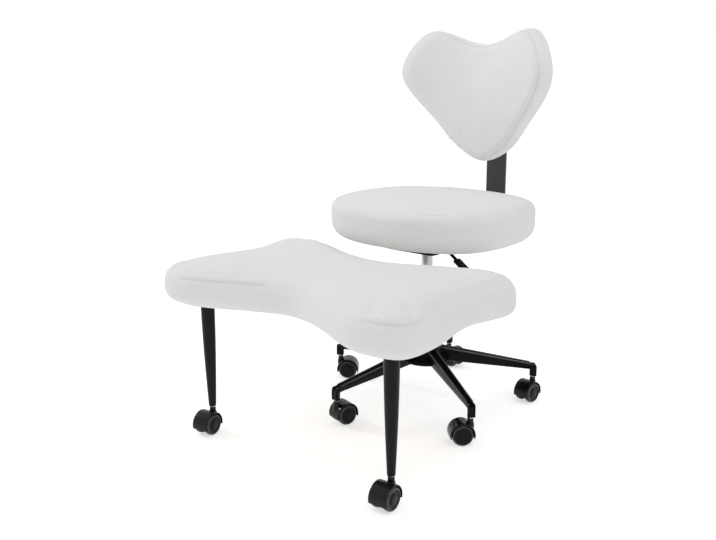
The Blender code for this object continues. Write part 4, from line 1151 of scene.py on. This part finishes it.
def staple():
    """A staple's crown and the start of its legs, along Y, with the hem's face at height 0."""
    wire = ((1, -0.5), (1, 0.5), (0.5, 1), (-0.5, 1), (-1, 0.5), (-1, -0.5), (-0.5, -1), (0.5, -1))
    rings = []
    for y, z in ((-0.005, 0.0007), (-0.005, -0.0003), (-0.0047, -0.0006), (0.0047, -0.0006),
                 (0.005, -0.0003), (0.005, 0.0007)):
        spread = 0.00028 if abs(y) < 0.0049 else 0.0
        rings.append([(0.00065 * c, y + (0.00028 - spread) * s, z + spread * s) for c, s in wire])
    return lofted(rings)


def make_welt():
    """Piping round the covered board behind the back."""
    rows = []
    for k in range(10):
        a = 2 * pi * k / 10
        ring = inset(back_edge, -0.0014 - 0.002 * cos(a))
        rows.append([wrapped(p, -0.0024 + 0.002 * sin(a)) for p in ring])
    sections = list(zip(*rows))
    add("back_welt", swept(sections), BACK_COVER, "seat")


def scaled(radius, k):
    """A weld's radius at its k-th step, with its overlapping scales."""
    return radius * (0.82 + 0.18 * abs(sin(k * 0.9)))


EIGHTHS = [radians(45 * i) for i in range(8)]


def bead(start, end, radius):
    """A straight weld, thinner at its ends."""
    start = Vector(start)
    end = Vector(end)
    length = (end - start).length
    count = max(4, int(length / 0.0009))
    turn = Vector((0, 0, 1)).rotation_difference(end - start).to_matrix().to_4x4()
    rings = []
    for k in range(count + 1):
        r = scaled(radius, k) * min(1.0, 0.45 + 0.3 * min(k, count - k))
        rings.append([(r * cos(b), r * sin(b), length * k / count) for b in EIGHTHS])
    return moved(lofted(rings), Matrix.Translation(start) @ turn)


def make_welds():
    bar_low = REST_LOW - 0.0293
    bar_top = REST_LOW - 0.0043
    under = bar_low - 0.0006
    over = bar_top - 0.0006
    welds = []
    for side in (-1, 1):
        rib = side * 0.0038
        bar = side * 0.0206
        welds.append(bead((rib, -0.0324, 0.182), (rib, -0.0324, bar_low - 0.003), 0.0017))
        welds.append(bead((rib, -0.04, under), (rib, -0.166, under), 0.0017))
        welds.append(bead((bar, -0.236, over), (bar, -0.326, over), 0.0016))
        welds.append(bead((bar, -0.0252, bar_low + 0.003), (bar, -0.0252, REST_LOW - 0.0112), 0.0015))
    add("swing_arm_welds", merged(welds), STEEL, "footrest", COLUMN)
    sections = []
    for k in range(96):
        a = radians(360 / 96 * k)
        r = scaled(0.0016, k)
        section = [(0.0226 + r * cos(b), SEAT_LOW - 0.0041 + r * sin(b)) for b in EIGHTHS]
        sections.append([(reach * cos(a), reach * sin(a), z) for reach, z in section])
    add("seat_plate_weld", swept(sections), STEEL, "seat", COLUMN)


def make_edge_strip():
    """Rubber strip on the lower edge of the seat plate, open where the lever comes out."""
    corner = 0.012
    points = []
    for i, j, start in ((1, 1, 0), (-1, 1, 90), (-1, -1, 180), (1, -1, 270)):
        for k in range(7):
            a = radians(start + 15 * k)
            x = i * (0.07 - corner) + corner * cos(a)
            y = j * (0.075 - corner) + corner * sin(a)
            points.append((x, y, 0))
    loop = dense(points, pitch=0.004)[:, :2]
    low = SEAT_LOW - 0.0238
    outline = ((-0.0012, 0.0034), (-0.0014, 0.002), (-0.0014, -0.0018), (-0.0006, -0.0026),
               (0.0036, -0.0026), (0.0044, -0.0018), (0.0044, 0.002), (0.004, 0.0034))
    sections = list(zip(*[[(x, y, low + up) for x, y in inset(loop, d)] for d, up in outline]))
    lever = [i for i, (x, y) in enumerate(loop) if x > 0.06 and -0.042 < y < 0.014]
    strip = lofted(sections[lever[-1] + 1:] + sections[:lever[0]])
    add("seat_plate_edge", strip, GRIP, "seat", COLUMN)


def under_bar(point):
    return point[1] > seat_centre[1] and abs(point[0]) < 0.033


make_fasteners()
make_hem("seat", "seat", seat_loop, 0.0365, 0.056, SEAT_LOW, under_bar)
make_hem("footrest", "footrest", rest_loop, 0.0238, 0.0415, REST_LOW, lambda point: False)
make_welt()
make_welds()
make_edge_strip()


# Camera, floor and light

def make_camera():
    data = bpy.data.cameras.new("camera")
    data.sensor_width = 36
    data.lens = FOCAL / PHOTO_W * data.sensor_width
    data.clip_end = 100
    cam = linked("camera", data)
    place = Matrix.Translation((CAMERA_X, COLUMN_Y - CAMERA_AHEAD, CAMERA_Z))
    tilt = turned(90 - CAMERA_DOWN, "X")
    cam.matrix_world = place @ turned(CAMERA_HEADING, "Z") @ tilt @ turned(CAMERA_ROLL, "Z")
    SCENE.camera = cam


def seen_rays(tree):
    """One where the camera, a reflection or a refraction looks, none for plain light."""
    path = node(tree, "ShaderNodeLightPath").outputs
    first = worked(tree, "MAXIMUM", path["Is Camera Ray"], path["Is Glossy Ray"])
    return worked(tree, "MAXIMUM", first, path["Is Transmission Ray"])


def make_world():
    world = bpy.data.worlds.new("world")
    SCENE.world = world
    world.use_nodes = True
    tree = world.node_tree
    back = tree.nodes["Background"]
    back.inputs["Color"].default_value = (1, 1, 1, 1)
    level = node(tree, "ShaderNodeMapRange", {"Value": seen_rays(tree), "To Min": WORLD_LIGHT, "To Max": 1.0})
    tree.links.new(level.outputs["Result"], back.inputs["Strength"])


def make_floor():
    bm = bmesh.new()
    bmesh.ops.create_grid(bm, x_segments=1, y_segments=1, size=60.0)
    mesh = mesh_of("floor", bm)
    floor = linked("floor", mesh)
    floor.location = (0, 0, -0.0004)
    mat = bpy.data.materials.new("floor")
    mat.use_nodes = True
    tree = mat.node_tree
    tree.nodes.remove(tree.nodes["Principled BSDF"])
    plain = node(tree, "ShaderNodeBsdfDiffuse", {"Color": (0.8, 0.8, 0.8, 1)})
    glow = node(tree, "ShaderNodeEmission", {"Color": (1, 1, 1, 1)})
    inputs = {"Value": seen_rays(tree), "To Min": FLOOR_LIGHT, "To Max": FLOOR_SEEN}
    level = node(tree, "ShaderNodeMapRange", inputs)
    tree.links.new(level.outputs["Result"], glow.inputs["Strength"])
    both = node(tree, "ShaderNodeAddShader", {0: plain.outputs["BSDF"], 1: glow.outputs["Emission"]})
    tree.links.new(both.outputs["Shader"], tree.nodes["Material Output"].inputs["Surface"])
    mesh.materials.append(mat)


def lamp(name, place, target, size, power):
    """A square lamp turned towards a target, its power in watts."""
    data = bpy.data.lights.new(name, "AREA")
    data.shape = "SQUARE"
    data.size = size
    data.energy = power
    obj = linked(name, data)
    obj.location = place
    obj.rotation_euler = (Vector(target) - Vector(place)).to_track_quat("-Z", "Y").to_euler()


make_camera()
make_world()
make_floor()
lamp("top", (0.3, -0.2, 3.2), (0, 0, 0.4), size=2.2, power=16.5)
lamp("left", (-2.9, -0.9, 1.9), (0, 0, 0.5), size=0.6, power=22)
lamp("right", (2.5, -0.9, 2.4), (0, 0, 0.5), size=0.3, power=5)
bpy.context.scene.view_settings.view_transform = "Standard"
